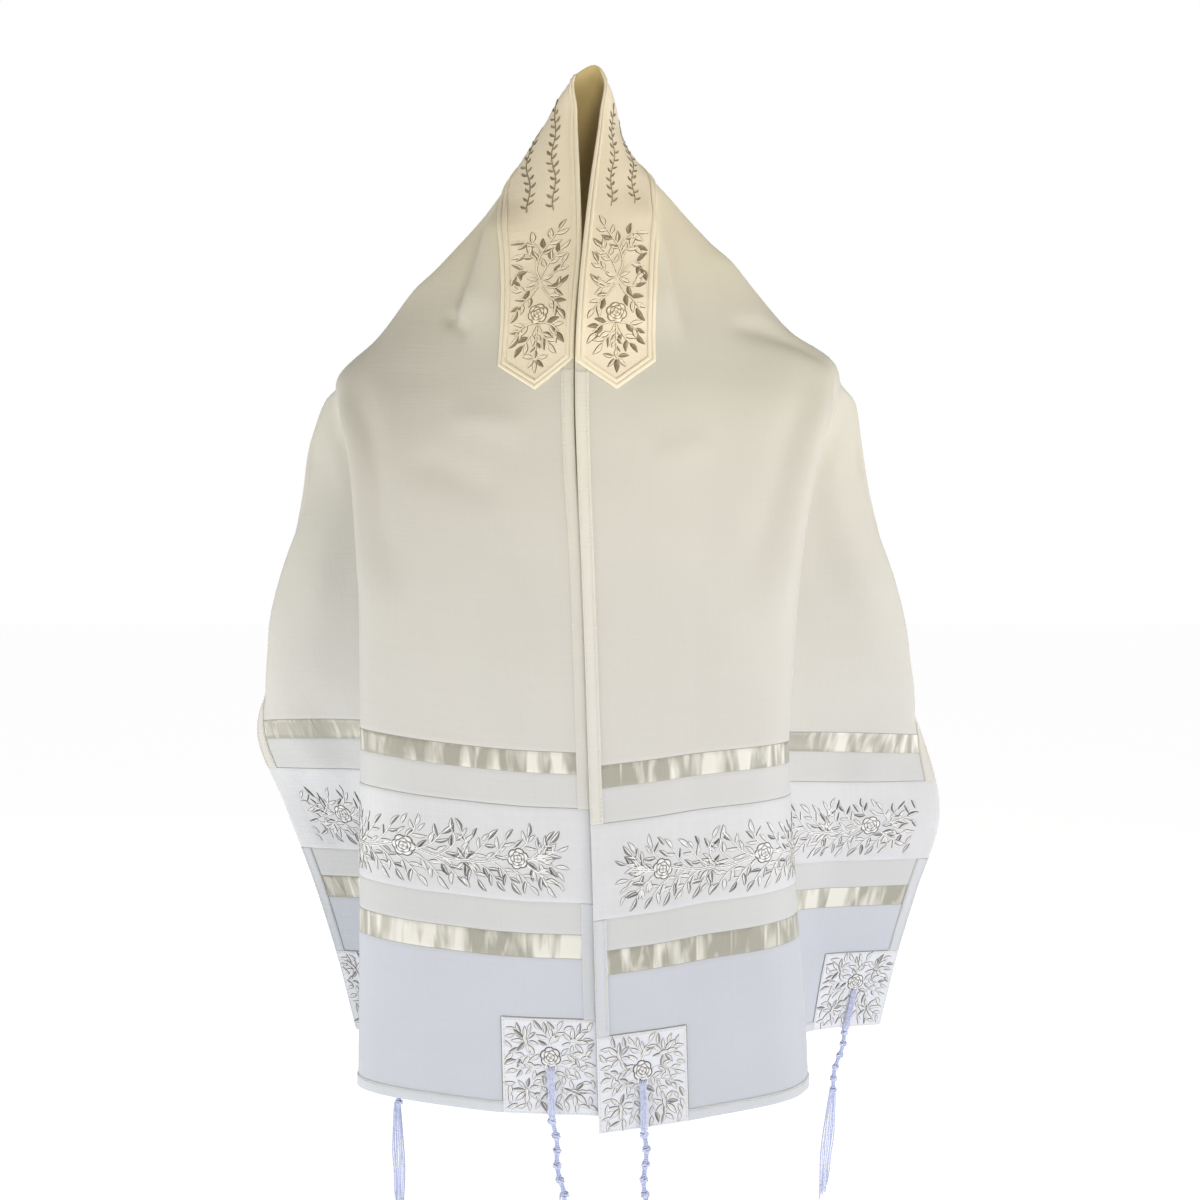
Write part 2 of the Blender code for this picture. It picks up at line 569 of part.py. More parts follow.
def stem_axis(tassel, top, length):
    """Where the stem's middle is at a length below its top."""
    sway = STEM_SWAY * np.sin(length / STEM_SWAY_EVERY) if 0 < length < STEM_LENGTH else 0.0
    slope = np.array([tassel.lean_x, tassel.lean_back, -1.0])
    slope /= np.linalg.norm(slope)
    return top + slope * length + np.array([sway, 0.0, 0.0])


def head_grid(corner, centre, scale):
    """Three rows of five points across a head: back, middle and front."""
    deep = (STRAP_FRONT - STRAP_MIDDLE) * HEAD_FILL
    return [[centre + scale * (step * STRAP_WIDTH * corner.wide + row * deep * corner.out)
             for step in STRAP_STEPS] for row in (-1, 0, 1)]


def grid_rim(grid):
    """The twelve points round a head's grid, in order."""
    back, middle, front = grid
    return list(back) + [middle[-1]] + list(reversed(front)) + [middle[0]]


class Body:
    """Points and faces of one closed body, with shared points by index."""

    def __init__(self):
        self.points = []
        self.faces = []

    def add(self, points):
        """Indices of newly added points."""
        start = len(self.points)
        self.points += list(points)
        return list(range(start, len(self.points)))

    def bridge(self, one, other):
        """Join two rings of as many points with four-sided faces."""
        for i in range(len(one)):
            j = (i + 1) % len(one)
            self.faces.append((one[i], one[j], other[j], other[i]))


def knot_ring(corner, centre, radius):
    """A round ring of twelve points, in the order of a head's rim."""
    places = [(-1, step) for step in STRAP_STEPS] + [(0, 0.5)]
    places += [(1, -step) for step in STRAP_STEPS] + [(0, -0.5)]
    angles = [np.arctan2(row, 2 * wide) for row, wide in places]
    return [centre + radius * (np.cos(angle) * corner.wide + np.sin(angle) * corner.out)
            for angle in angles]


def build_tassel(tassel):
    """One tassel: strap, knotted stem and eight strings as one closed body."""
    corner = Corner(tassel)
    body = Body()
    top = corner.at(HALF_LENGTH + STEM_DROP, STRAP_MIDDLE)
    grid = [body.add(row) for row in head_grid(corner, top, 1.0)]
    add_strap(body, corner, grid)
    rim = grid_rim(grid)
    for step in range(1, 2 * KNOT_COUNT):
        length = STEM_LENGTH * step / (2 * KNOT_COUNT)
        centre = stem_axis(tassel, top, length)
        radius = STEM_RADIUS + (KNOT_SWELL if step % 2 else -KNOT_SWELL / 2)
        added = body.add(knot_ring(corner, centre, radius))
        body.bridge(rim, added)
        rim = added
    root = stem_axis(tassel, top, STEM_LENGTH)
    foot = [body.add(row) for row in head_grid(corner, root, FOOT_SCALE)]
    body.bridge(rim, grid_rim(foot))
    add_strings(body, corner, tassel, root, foot)
    add_object(tassel.name, body.points, body.faces, CORD_WHITE)


def add_strap(body, corner, grid):
    """The strap, from the front half of the head round to its back half."""
    back, middle, front = grid
    last = list(middle) + list(reversed(front))
    for ring in strap_rings(corner):
        added = body.add(ring)
        body.bridge(last, added)
        last = added
    body.bridge(last, list(middle) + list(reversed(back)))


def add_strings(body, corner, tassel, root, foot):
    """Eight strings of four sides, one from each cell of the foot's grid."""
    slope = np.array([tassel.lean_x * STRING_LEAN, tassel.lean_back * STRING_LEAN, -1.0])
    deep = (STRAP_FRONT - STRAP_MIDDLE) * HEAD_FILL
    half = STRING_THICKNESS / 2
    corners = [(-half, -half), (half, -half), (half, half), (-half, half)]
    for row in range(2):
        for cell in range(4):
            last = [foot[row][cell], foot[row][cell + 1], foot[row + 1][cell + 1], foot[row + 1][cell]]
            wide = (STRAP_STEPS[cell] + STRAP_STEPS[cell + 1]) / 2 * STRAP_WIDTH
            out = (row - 0.5) * deep
            for part in STRING_PARTS:
                swell = np.sin(part * 2.6 + cell * 0.15)
                spread = STRING_SPREAD_AT_ROOT + (STRING_SPREAD - STRING_SPREAD_AT_ROOT) * swell
                length = STRING_LENGTH * part * (1 - STRING_LENGTHS_DIFFER * cell)
                centre = root + slope * length + spread * (wide * corner.wide + out * corner.out)
                added = body.add([centre + a * corner.wide + b * corner.out for a, b in corners])
                body.bridge(last, added)
                last = added
            body.faces.append(tuple(last))


def main():
    """Clear the scene and build every piece."""
    for old in list(bpy.data.objects):
        bpy.data.objects.remove(old, do_unlink=True)
    build_panels()
    build_hems()
    build_squares()
    build_atarah()
    build_atarah_border()
    for tassel in TASSELS:
        build_tassel(tassel)


main()
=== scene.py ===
"""Looks of a tallit (prayer shawl) that hangs by the middle of its collar edge.

The cloth is one surface over its flat cut. A place on it is given flat: "along"
is the distance from the centre line, less than 0 on the left, and "across" the
distance from the collar edge. Drape takes both, and a height out of the face,
to the hanging cloth. Every cut piece is a thin shell on that surface, and all
sewing and needlework lies on it. Sizes are in millimetres, taken to metres by MM.
"""
from __future__ import annotations

import logging
import math
from collections.abc import Callable, Iterable, Sequence
from dataclasses import dataclass, field
from enum import Enum
from functools import cache, partial

import bpy
import numpy as np
from bpy.types import ID, Material, Node, NodeSocket, NodeTree, Object
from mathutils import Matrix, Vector


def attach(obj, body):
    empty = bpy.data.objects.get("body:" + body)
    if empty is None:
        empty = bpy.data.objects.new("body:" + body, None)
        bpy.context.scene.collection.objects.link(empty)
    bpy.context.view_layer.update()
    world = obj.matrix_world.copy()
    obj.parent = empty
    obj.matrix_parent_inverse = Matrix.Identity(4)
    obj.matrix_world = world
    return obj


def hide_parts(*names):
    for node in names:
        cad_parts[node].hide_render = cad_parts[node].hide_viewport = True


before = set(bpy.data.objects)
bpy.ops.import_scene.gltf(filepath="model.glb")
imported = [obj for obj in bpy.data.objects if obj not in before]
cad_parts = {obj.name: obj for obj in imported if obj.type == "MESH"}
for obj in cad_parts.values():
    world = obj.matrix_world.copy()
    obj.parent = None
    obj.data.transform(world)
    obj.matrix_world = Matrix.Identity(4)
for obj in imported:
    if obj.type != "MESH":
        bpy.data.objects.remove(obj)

Array = np.ndarray
Adder = Callable[..., Node]
Pair = tuple[float, float]
Place = tuple[float, float, float]
Box = tuple[float, float, float, float]
Height = Callable[[Array, Array], Array]
LeafWay = Callable[[float, float], float | None]

LOG = logging.getLogger("tallit")
MM = 0.001
BODY = "root"
FLAT_MAP = "flat"
SHADE = "thread_shade"

# The cut of the cloth.
CLOTH_WIDTH = 500.0
HALF_LENGTH = 1000.0
SATIN_UPPER = 682.0
PLAIN_UPPER = 701.0
BAND = 731.0
PLAIN_LOWER = 814.0
SATIN_LOWER = 842.0
END_PANEL = 863.0
HEM_WIDTH = 12.0
BOTTOM_HEM_WIDTH = 10.0
SQUARE_SIDE = 84.0
EYELET_SIDE = 8.0
SQUARE_TOP = HALF_LENGTH - SQUARE_SIDE
SQUARE_MIDDLE = HALF_LENGTH - SQUARE_SIDE / 2
ATARAH_WIDTH = 75.0
ATARAH_HALF = 335.0
ATARAH_POINT = 25.0
ATARAH_BORDER = 8.0
COLLAR_HEM_START = 343.5

# How far the front panels swell out, and sag, between collar edge and crease.
FRONT_SWELL = 11.0
LEFT_SAG = 3.5
RIGHT_SAG = -1.5
SWELL_STARTS_FULL_AT = 140.0

# The folds of the cloth, one row for each section across it from the peak to
# the short edge, at the places along that SECTION_PLACES gives. Columns: x, back
# and down of the collar edge; then across, x, back and down of crease, side,
# valley and wing; then x, back and down of the far edge.
SECTION_PLACES = (20, 60, 140, 220, 300, 330, 360, 430, 500, 600, 690, 770, 850, 920, 1000)
CENTRE_SECTION = (0, 0, 0, 17, 0, 7, 15, 110, 0, 40, 102, 200, 0, 74, 186, 360, 0, 120, 339, 0, 152, 475)
RIGHT_SECTIONS = (
    (8, -4, 14, 18, 12, 1, 20, 110, 15, 34, 106, 200, 16, 68, 188, 360, 18, 118, 340, 20, 152, 475),
    (5, -16, 52, 42, 23, -1, 67, 115, 36, 23, 124, 200, 44, 54, 192, 360, 54, 111, 342, 60, 149, 473),
    (-4, -43, 127, 98, 77, -3, 137, 150, 98, 12, 184, 225, 110, 42, 252, 370, 130, 99, 366, 137, 138, 462),
    (-11, -75, 201, 160, 132, -6, 198, 202, 160, 4, 232, 255, 186, 22, 292, 380, 210, 70, 384, 206, 116, 438),
    (-16, -103, 277, 227, 197, -9, 270, 257, 218, 2, 290, 292, 235, 12, 304, 400, 254, 36, 336, 242, 82, 390),
    (-17, -109, 309, 262, 234, -11, 298, 282, 239, -1, 308, 306, 244, 8, 316, 406, 263, 34, 333, 247, 76, 372),
    (-17, -115, 340, 252, 228, -29, 331, 276, 232, -13, 337, 304, 236, 8, 343, 412, 270, 42, 362, 250, 76, 374),
    (-15, -119, 411, 234, 209, -48, 397, 262, 211, -22, 401, 302, 200, 13, 406, 424, 282, 52, 416, 256, 88, 420),
    (-12, -120, 482, 222, 195, -58, 466, 262, 195, -18, 469, 304, 178, 22, 472, 438, 302, 66, 474, 264, 104, 478),
    (-8, -121, 586, 206, 183, -66, 568, 254, 187, -18, 570, 302, 172, 28, 573, 460, 330, 88, 578, 306, 108, 582),
    (-5, -121, 680, 192, 175, -70, 664, 248, 183, -16, 666, 304, 168, 36, 668, 470, 334, 100, 677, 353, 105, 678),
    (-2, -121, 762, 192, 177, -71, 744, 250, 188, -16, 747, 308, 178, 34, 750, 400, 256, 80, 756, 369, 105, 757),
    (0, -121, 842, 192, 180, -72, 824, 252, 192, -15, 828, 312, 162, 32, 832, 404, 248, 84, 837, 344, 105, 838),
    (2, -121, 912, 193, 183, -76, 897, 252, 198, -17, 902, 314, 152, 29, 904, 406, 234, 86, 904, 324, 105, 904),
    (4, -121, 992, 194, 186, -80, 976, 252, 201, -20, 986, 316, 146, 26, 984, 412, 226, 90, 982, 305, 105, 980),
)
LEFT_SECTIONS = (
    (-17, -3, 10, 15, -20, 1, 17, 110, -17, 34, 106, 200, -17, 68, 188, 360, -18, 118, 340, -20, 152, 475),
    (-17, -14, 50, 34, -45, -1, 57, 110, -48, 25, 119, 200, -46, 54, 192, 360, -54, 111, 342, -60, 149, 473),
    (-14, -41, 125, 84, -98, -3, 138, 145, -108, 12, 190, 225, -113, 42, 256, 370, -130, 99, 366, -137, 138, 462),
    (-12, -70, 199, 150, -159, -7, 209, 195, -184, 3, 240, 250, -194, 20, 292, 380, -214, 70, 384, -208, 116, 438),
    (-17, -98, 274, 214, -212, -9, 272, 246, -234, 2, 294, 285, -246, 11, 308, 400, -263, 35, 338, -249, 81, 392),
    (-18, -105, 306, 250, -248, -11, 307, 272, -253, -1, 316, 300, -256, 8, 319, 406, -273, 34, 334, -253, 75, 373),
    (-18, -111, 337, 242, -243, -29, 336, 266, -247, -12, 342, 298, -250, 6, 344, 412, -287, 42, 361, -257, 75, 374),
    (-16, -115, 407, 222, -224, -62, 396, 254, -227, -32, 400, 300, -212, 8, 406, 424, -300, 50, 418, -262, 84, 420),
    (-11, -116, 478, 209, -214, -82, 462, 250, -214, -42, 464, 302, -190, 6, 466, 440, -315, 60, 472, -268, 98, 478),
    (-7, -117, 578, 206, -210, -94, 560, 250, -213, -50, 562, 306, -184, 6, 564, 464, -340, 76, 568, -319, 99, 572),
    (-4, -117, 668, 205, -208, -97, 648, 252, -213, -50, 650, 312, -184, 8, 654, 470, -336, 80, 659, -358, 90, 661),
    (-1, -117, 748, 207, -208, -97, 728, 254, -212, -50, 731, 318, -164, 2, 735, 412, -245, 60, 740, -328, 87, 741),
    (1, -117, 828, 209, -209, -97, 808, 256, -210, -50, 812, 326, -146, -6, 816, 420, -220, 48, 818, -293, 72, 820),
    (3, -117, 898, 212, -210, -97, 879, 260, -207, -51, 884, 336, -128, -14, 888, 426, -204, 35, 888, -265, 52, 888),
    (5, -117, 978, 215, -211, -97, 959, 264, -203, -54, 964, 346, -110, -20, 966, 432, -178, 22, 962, -241, 32, 958),
)


class Named(Enum):
    """A choice that the names of pieces tell."""

    @property
    def word(self) -> str:
        """The option's name as pieces carry it."""
        return self.name.lower()


class Side(Named):
    """The two halves of the cloth, as the shawl is faced."""

    LEFT = -1
    RIGHT = 1


class Corner(Named):
    """The two corners of a half, with the middle across of their squares."""

    FRONT = SQUARE_SIDE / 2
    WING = CLOTH_WIDTH - SQUARE_SIDE / 2


# ------------------------------------------------------------------ the drape
def smooth_through(knots: Array, values: Array, wanted: Array) -> Array:
    """Follow a smooth curve through values at knots.

    Args:
        knots: Rising places of the known values.
        values: One row of values for each knot.
        wanted: Places at which the curve is read.

    Returns:
        One row of values for each wanted place.
    """
    knots = np.asarray(knots, float)
    values = np.asarray(values, float)
    span = np.diff(knots)
    rise = np.diff(values, axis=0) / span[:, None]
    slope = np.empty_like(values)
    slope[0], slope[-1] = rise[0], rise[-1]
    weight = (span[:-1] + span[1:])[:, None]
    slope[1:-1] = (rise[:-1] * span[1:, None] + rise[1:] * span[:-1, None]) / weight
    left = np.clip(np.searchsorted(knots, wanted, side="right") - 1, 0, len(span) - 1)
    width = span[left][:, None]
    part = ((np.asarray(wanted, float) - knots[left]) / span[left])[:, None]
    return ((2 * part**3 - 3 * part**2 + 1) * values[left]
            + (part**3 - 2 * part**2 + part) * width * slope[left]
            + (3 * part**2 - 2 * part**3) * values[left + 1]
            + (part**3 - part**2) * width * slope[left + 1])


def guide_row(along: float, section: Sequence[float]) -> list[float]:
    """Lay out one section for a table of guides.

    Args:
        along: Its signed place along the cloth.
        section: A row of the fold tables.

    Returns:
        Its place, then across, x, back and up of each guide.
    """
    numbers = [0.0, *section[:19], 0.0, *section[19:]]
    row = [along]
    for start in range(0, len(numbers), 4):
        row += [*numbers[start:start + 3], -numbers[start + 3]]
    return row


def guide_table() -> Array:
    """Lay out all sections, from the left short edge to the right one.

    Returns:
        One row of guides for each section.
    """
    left = [guide_row(-along, section) for along, section in zip(SECTION_PLACES, LEFT_SECTIONS)]
    right = [guide_row(along, section) for along, section in zip(SECTION_PLACES, RIGHT_SECTIONS)]
    return np.array(left[::-1] + [guide_row(0, CENTRE_SECTION)] + right)


def resting_points(along: Array, across: Array) -> Array:
    """Points of the hanging cloth before its small creases.

    Args:
        along: Places along the cloth.
        across: Places across it.

    Returns:
        An array of rows along by columns across by three.
    """
    table = guide_table()
    guides = smooth_through(table[:, 0], table[:, 1:], along).reshape(len(along), -1, 4)
    points = np.empty((len(along), len(across), 3))
    for index, place in enumerate(along):
        edge, crease, side, valley, wing, far = guides[index]
        full = min(1.0, abs(place) / SWELL_STARTS_FULL_AT)
        sag = LEFT_SAG if place < 0 else RIGHT_SAG
        middle = (edge + crease) / 2 - full * np.array([0, 0, FRONT_SWELL, sag])
        knots = [0, crease[0] / 2, crease[0], side[0], valley[0], wing[0], CLOTH_WIDTH]
        places = [guide[1:] for guide in (edge, middle, crease, side, valley, wing, far)]
        points[index] = smooth_through(knots, places, across)
    return points


@dataclass(frozen=True)
class Crease:
    """A soft trough or ridge between two flat places of the cloth.

    depth is how far it stands out of the face, less than 0 for a trough, and
    bow how far its middle lies off the straight line between its ends. Where
    far_width is given, it is the width of the flank away from the collar edge.
    """

    start: Pair
    end: Pair
    width: float
    depth: float
    bow: float = 0.0
    far_width: float = 0.0

    def height(self, along: Array, across: Array) -> Array:
        """How far the crease moves the cloth out of its face.

        Args:
            along: Places along the cloth.
            across: Places across it.

        Returns:
            A height for each place, less than 0 in a trough.
        """
        start, end = np.array(self.start), np.array(self.end)
        length = np.linalg.norm(end - start)
        way = (end - start) / length
        far = (along - start[0]) * way[0] + (across - start[1]) * way[1]
        part = far / length
        off = (along - start[0]) * -way[1] + (across - start[1]) * way[0]
        off = off - self.bow * 4 * part * (1 - part) * ((part > 0) & (part < 1))
        # It runs out over the last third at each end.
        fade = np.clip(np.minimum(part, 1 - part) * 3.2 + 0.12, 0, 1)
        fade = fade * fade * (3 - 2 * fade)
        width = np.where(off * np.sign(way[0]) > 0, self.far_width or self.width, self.width)
        return self.depth * fade * np.exp(-(off / width) ** 2)


def lines_between(keys: Iterable[float], step: float) -> Array:
    """Lines through every key, with even ones between them.

    Args:
        keys: Places that have a line of their own.
        step: The widest gap between two lines.

    Returns:
        The lines' places, rising.
    """
    keys = sorted(set(keys))
    lines = [keys[0]]
    for before, after in zip(keys, keys[1:]):
        count = max(1, math.ceil((after - before) / step - 1e-6))
        lines += [before + (after - before) * (i + 1) / count for i in range(count)]
    return np.array(lines)


@dataclass
class Drape:
    """The hanging cloth on a fine lattice, from which every piece is read."""

    creases: Sequence[Crease]
    step_along: float = 4.6
    step_across: float = 4.4
    along: Array = field(init=False)
    across: Array = field(init=False)
    points: Array = field(init=False)
    normals: Array = field(init=False)

    def __post_init__(self) -> None:
        """Work out the lattice, its creases and the directions out of its face."""
        half = EYELET_SIDE / 2
        keys = [SATIN_UPPER, PLAIN_UPPER, BAND, PLAIN_LOWER, SATIN_LOWER, END_PANEL, SQUARE_TOP,
                HALF_LENGTH - SQUARE_SIDE / 2 - half, HALF_LENGTH - SQUARE_SIDE / 2 + half,
                HALF_LENGTH - BOTTOM_HEM_WIDTH, HALF_LENGTH, ATARAH_HALF, COLLAR_HEM_START,
                ATARAH_HALF + ATARAH_POINT]
        self.along = lines_between([-key for key in keys] + [0.0] + keys, self.step_along)
        near = [0, ATARAH_BORDER, HEM_WIDTH, SQUARE_SIDE / 2 - half, SQUARE_SIDE / 2 + half,
                ATARAH_WIDTH - ATARAH_BORDER, ATARAH_WIDTH, SQUARE_SIDE]
        self.across = lines_between(near + [CLOTH_WIDTH - place for place in near], self.step_across)
        points = resting_points(self.along, self.across)
        s, u = np.meshgrid(self.along, self.across, indexing="ij")
        height = sum(crease.height(s, u) for crease in self.creases)
        self.points = points + self._normals_of(points) * height[..., None]
        self.normals = self._normals_of(self.points)

    def _normals_of(self, points: Array) -> Array:
        """Unit directions out of the face of lattice points."""
        normal = np.cross(np.gradient(points, self.along, axis=0), np.gradient(points, self.across, axis=1))
        return normal / np.linalg.norm(normal, axis=2, keepdims=True)

    def at(self, along: Array, across: Array, height: Array | float) -> Array:
        """Points over flat places.

        Args:
            along: Signed places along the cloth.
            across: Places across it, in the same number.
            height: How far out of the face, less than 0 behind it.

        Returns:
            One point for each place, in millimetres.
        """
        along = np.clip(np.asarray(along, float), self.along[0], self.along[-1])
        across = np.clip(np.asarray(across, float), self.across[0], self.across[-1])
        i = np.clip(np.searchsorted(self.along, along, side="right") - 1, 0, len(self.along) - 2)
        j = np.clip(np.searchsorted(self.across, across, side="right") - 1, 0, len(self.across) - 2)
        a = ((along - self.along[i]) / (self.along[i + 1] - self.along[i]))[..., None]
        b = ((across - self.across[j]) / (self.across[j + 1] - self.across[j]))[..., None]

        def mixed(grid: Array) -> Array:
            """The grid's value between its four nearest corners.

            Args:
                grid: A value for each point of the lattice.

            Returns:
                A value for each place.
            """
            near = grid[i, j] * (1 - b) + grid[i, j + 1] * b
            far = grid[i + 1, j] * (1 - b) + grid[i + 1, j + 1] * b
            return near * (1 - a) + far * a

        normal = mixed(self.normals)
        normal = normal / np.linalg.norm(normal, axis=-1, keepdims=True)
        return mixed(self.points) + np.asarray(height, float)[..., None] * normal

    def point(self, along: float, across: float, height: float = 0.0) -> Array:
        """One point over a flat place."""
        return self.at(np.array([along]), np.array([across]), np.array([height]))[0]

    def along_between(self, start: float, end: float) -> Array:
        """The lattice's lines from start to end, both with their sign."""
        low, high = sorted((start, end))
        return self.along[(self.along >= low - 1e-6) & (self.along <= high + 1e-6)]

    def across_between(self, start: float, end: float) -> Array:
        """The lattice's lines across from start to end."""
        return self.across[(self.across >= start - 1e-6) & (self.across <= end + 1e-6)]


# --------------------------------------------------------------------- meshes
def add_object(name: str, data: ID) -> Object:
    """Add an object to the scene.

    Args:
        name: The object's name.
        data: Its mesh, light or camera.

    Returns:
        The new object.
    """
    made = bpy.data.objects.new(name, data)
    bpy.context.scene.collection.objects.link(made)
    return made


def grid_faces(rows: int, columns: int, flip: bool = False) -> list[tuple[int, ...]]:
    """Four-sided faces of a grid of points.

    Args:
        rows: Number of points along.
        columns: Number of points across.
        flip: Whether the faces look the other way.

    Returns:
        One face for each cell.
    """
    faces = []
    for r in range(rows - 1):
        for c in range(columns - 1):
            a = r * columns + c
            face = (a, a + columns, a + columns + 1, a + 1)
            faces.append(face[::-1] if flip else face)
    return faces


def rounded(edge: Array, thickness: Array | float) -> Array:
    """How far a rounded rim drops: half the thickness where edge is 0, nothing at 1."""
    return (1 - np.sqrt(1 - (1 - np.clip(edge, 0, 1)) ** 2)) * thickness * 0.5


@dataclass
class Mesh:
    """Points and faces gathered for one piece, with flat places and shades."""

    points: list[Array] = field(default_factory=list)
    faces: list[tuple[int, ...]] = field(default_factory=list)
    flat: list[Array] = field(default_factory=list)
    shade: list[Array] = field(default_factory=list)
    count: int = 0

    def add(self, points: Array, faces: Iterable[Sequence[int]], flat: Array,
            shade: float | Array = 0.5) -> None:
        """Add a patch.

        Args:
            points: Its points in millimetres.
            faces: Its faces, numbered from its own first point.
            flat: Where each point lies on the flat cut, in millimetres.
            shade: From 0, the darkest thread, to 1, for each point or all.
        """
        points = np.asarray(points, float).reshape(-1, 3)
        self.points.append(points)
        self.faces += [tuple(corner + self.count for corner in face) for face in faces]
        self.flat.append(np.asarray(flat, float))
        self.shade.append(np.broadcast_to(np.asarray(shade, float), (len(points),)))
        self.count += len(points)

    def add_shell(self, top: Array, bottom: Array, faces: list[tuple[int, ...]], flat: Array,
                  inner_shade: float) -> None:
        """Add a closed shell of two layers, sewn together round every open edge.

        Args:
            top: Points of the layer on the face.
            bottom: Points behind them, in the same order.
            faces: Four-sided faces of the upper layer.
            flat: Where each point lies on the flat cut.
            inner_shade: The lower layer's shade.
        """
        top, bottom, lower = top.reshape(-1, 3), bottom.reshape(-1, 3), len(flat)
        every = faces + [tuple(corner + lower for corner in reversed(face)) for face in faces]
        edges = {(face[i], face[(i + 1) % 4]) for face in faces for i in range(4)}
        every += [(end, start, start + lower, end + lower)
                  for start, end in sorted(edges) if (end, start) not in edges]
        shade = np.concatenate([np.full(lower, 0.5), np.full(lower, inner_shade)])
        self.add(np.vstack([top, bottom]), every, np.vstack([flat, flat]), shade)

    def to_object(self, name: str, material: Material) -> Object:
        """Make the piece.

        Args:
            name: The piece's name.
            material: What it is made of.

        Returns:
            The new object, smooth, with its flat map and thread shades.
        """
        data = bpy.data.meshes.new(name)
        data.from_pydata((np.vstack(self.points) * MM).tolist(), [], self.faces)
        corners = np.empty(len(data.loops), np.int32)
        data.loops.foreach_get("vertex_index", corners)
        flat = np.vstack(self.flat) * MM
        layer = data.uv_layers.new(name=FLAT_MAP)
        layer.uv.foreach_set("vector", flat[corners].astype(np.float32).ravel())
        shade = data.attributes.new(SHADE, "FLOAT", "POINT")
        shade.data.foreach_set("value", np.concatenate(self.shade).astype(np.float32))
        data.shade_smooth()
        data.materials.append(material)
        return add_object(name, data)


@dataclass
class Cut:
    """A cut piece of cloth on the drape, as a thin shell with a rolled rim."""

    along: Pair
    across: Pair
    low: float
    high: float
    puffs: Height | None = None
    rim: float = 0.45
    holes: Sequence[Box] = ()

    def _with_rim(self, lines: Array) -> Array:
        """The lattice's lines, with close ones beside the rim."""
        gaps = np.array([self.rim * 0.3, self.rim])
        return np.unique(np.round(np.concatenate([lines, lines[0] + gaps, lines[-1] - gaps]), 4))

    def build(self, drape: Drape) -> Mesh:
        """Make the closed shell.

        Args:
            drape: The hanging cloth.

        Returns:
            A mesh with the shell alone.
        """
        along = self._with_rim(drape.along_between(*self.along))
        across = self._with_rim(drape.across_between(*self.across))
        s, u = np.meshgrid(along, across, indexing="ij")
        edge = np.minimum.reduce([s - along[0], along[-1] - s, u - across[0], across[-1] - u])
        inside = np.clip(edge / self.rim, 0, 1)
        drop = rounded(inside, self.high - self.low)
        puff = 0.0 if self.puffs is None else self.puffs(s, u) * inside
        flat = np.stack([s.ravel(), u.ravel()], 1)
        kept = [face for face in grid_faces(len(along), len(across)) if not self._in_hole(flat, face)]
        mesh = Mesh()
        mesh.add_shell(drape.at(s, u, self.high - drop + puff), drape.at(s, u, self.low + drop * 0.6),
                       kept, flat, inner_shade=0.0)
        return mesh

    def _in_hole(self, flat: Array, face: Sequence[int]) -> bool:
        """Whether a face's middle lies in one of the piece's holes."""
        s, u = flat[list(face)].mean(0)
        return any(low < abs(s) < high and near < u < far for low, high, near, far in self.holes)


# ------------------------------------------------------------------ materials
def linear(hex_colour: str) -> Box:
    """Turn an sRGB hex colour to linear values.

    Args:
        hex_colour: Six digits after a #.

    Returns:
        Linear red, green and blue, and an alpha of 1.
    """
    values = [int(hex_colour[i:i + 2], 16) / 255 for i in (1, 3, 5)]
    red, green, blue = (v / 12.92 if v <= 0.04045 else ((v + 0.055) / 1.055) ** 2.4 for v in values)
    return red, green, blue, 1.0


def feed(node: Node, **inputs: object) -> None:
    """Set or link a node's inputs.

    Args:
        node: The node.
        **inputs: A value, an output socket, or a node whose first output is
            meant. Each input goes by its name with _ for a space, or by its
            number after an i.
    """
    for key, value in inputs.items():
        socket = node.inputs[int(key[1:]) if key[1:].isdigit() else key.replace("_", " ")]
        if isinstance(value, Node):
            value = value.outputs[0]
        if isinstance(value, NodeSocket):
            node.id_data.links.new(value, socket)
        else:
            socket.default_value = value


def add_node(tree: NodeTree, kind: str, settings: dict | None = None, stops: Sequence[tuple[float, str]] = (),
             **inputs: object) -> Node:
    """Add a node with its settings and inputs.

    Args:
        tree: The material's node tree.
        kind: The node's type name, after ShaderNode.
        settings: Values for the node's own properties.
        stops: The places and hex colours of a colour ramp.
        **inputs: Its inputs, as feed takes them.

    Returns:
        The new node.
    """
    node = tree.nodes.new("ShaderNode" + kind)
    for key, value in (settings or {}).items():
        setattr(node, key, value)
    for place, _ in stops[1:-1]:
        node.color_ramp.elements.new(place)
    for element, (place, colour) in zip(node.color_ramp.elements if stops else (), stops):
        element.position = place
        element.color = linear(colour)
    feed(node, **inputs)
    return node


def new_material(name: str) -> tuple[Material, Adder, Node]:
    """Start a material.

    Args:
        name: Its name.

    Returns:
        The material, what adds a node to its tree, and its shader.
    """
    made = bpy.data.materials.new(name)
    made.use_nodes = True
    return made, partial(add_node, made.node_tree), made.node_tree.nodes["Principled BSDF"]


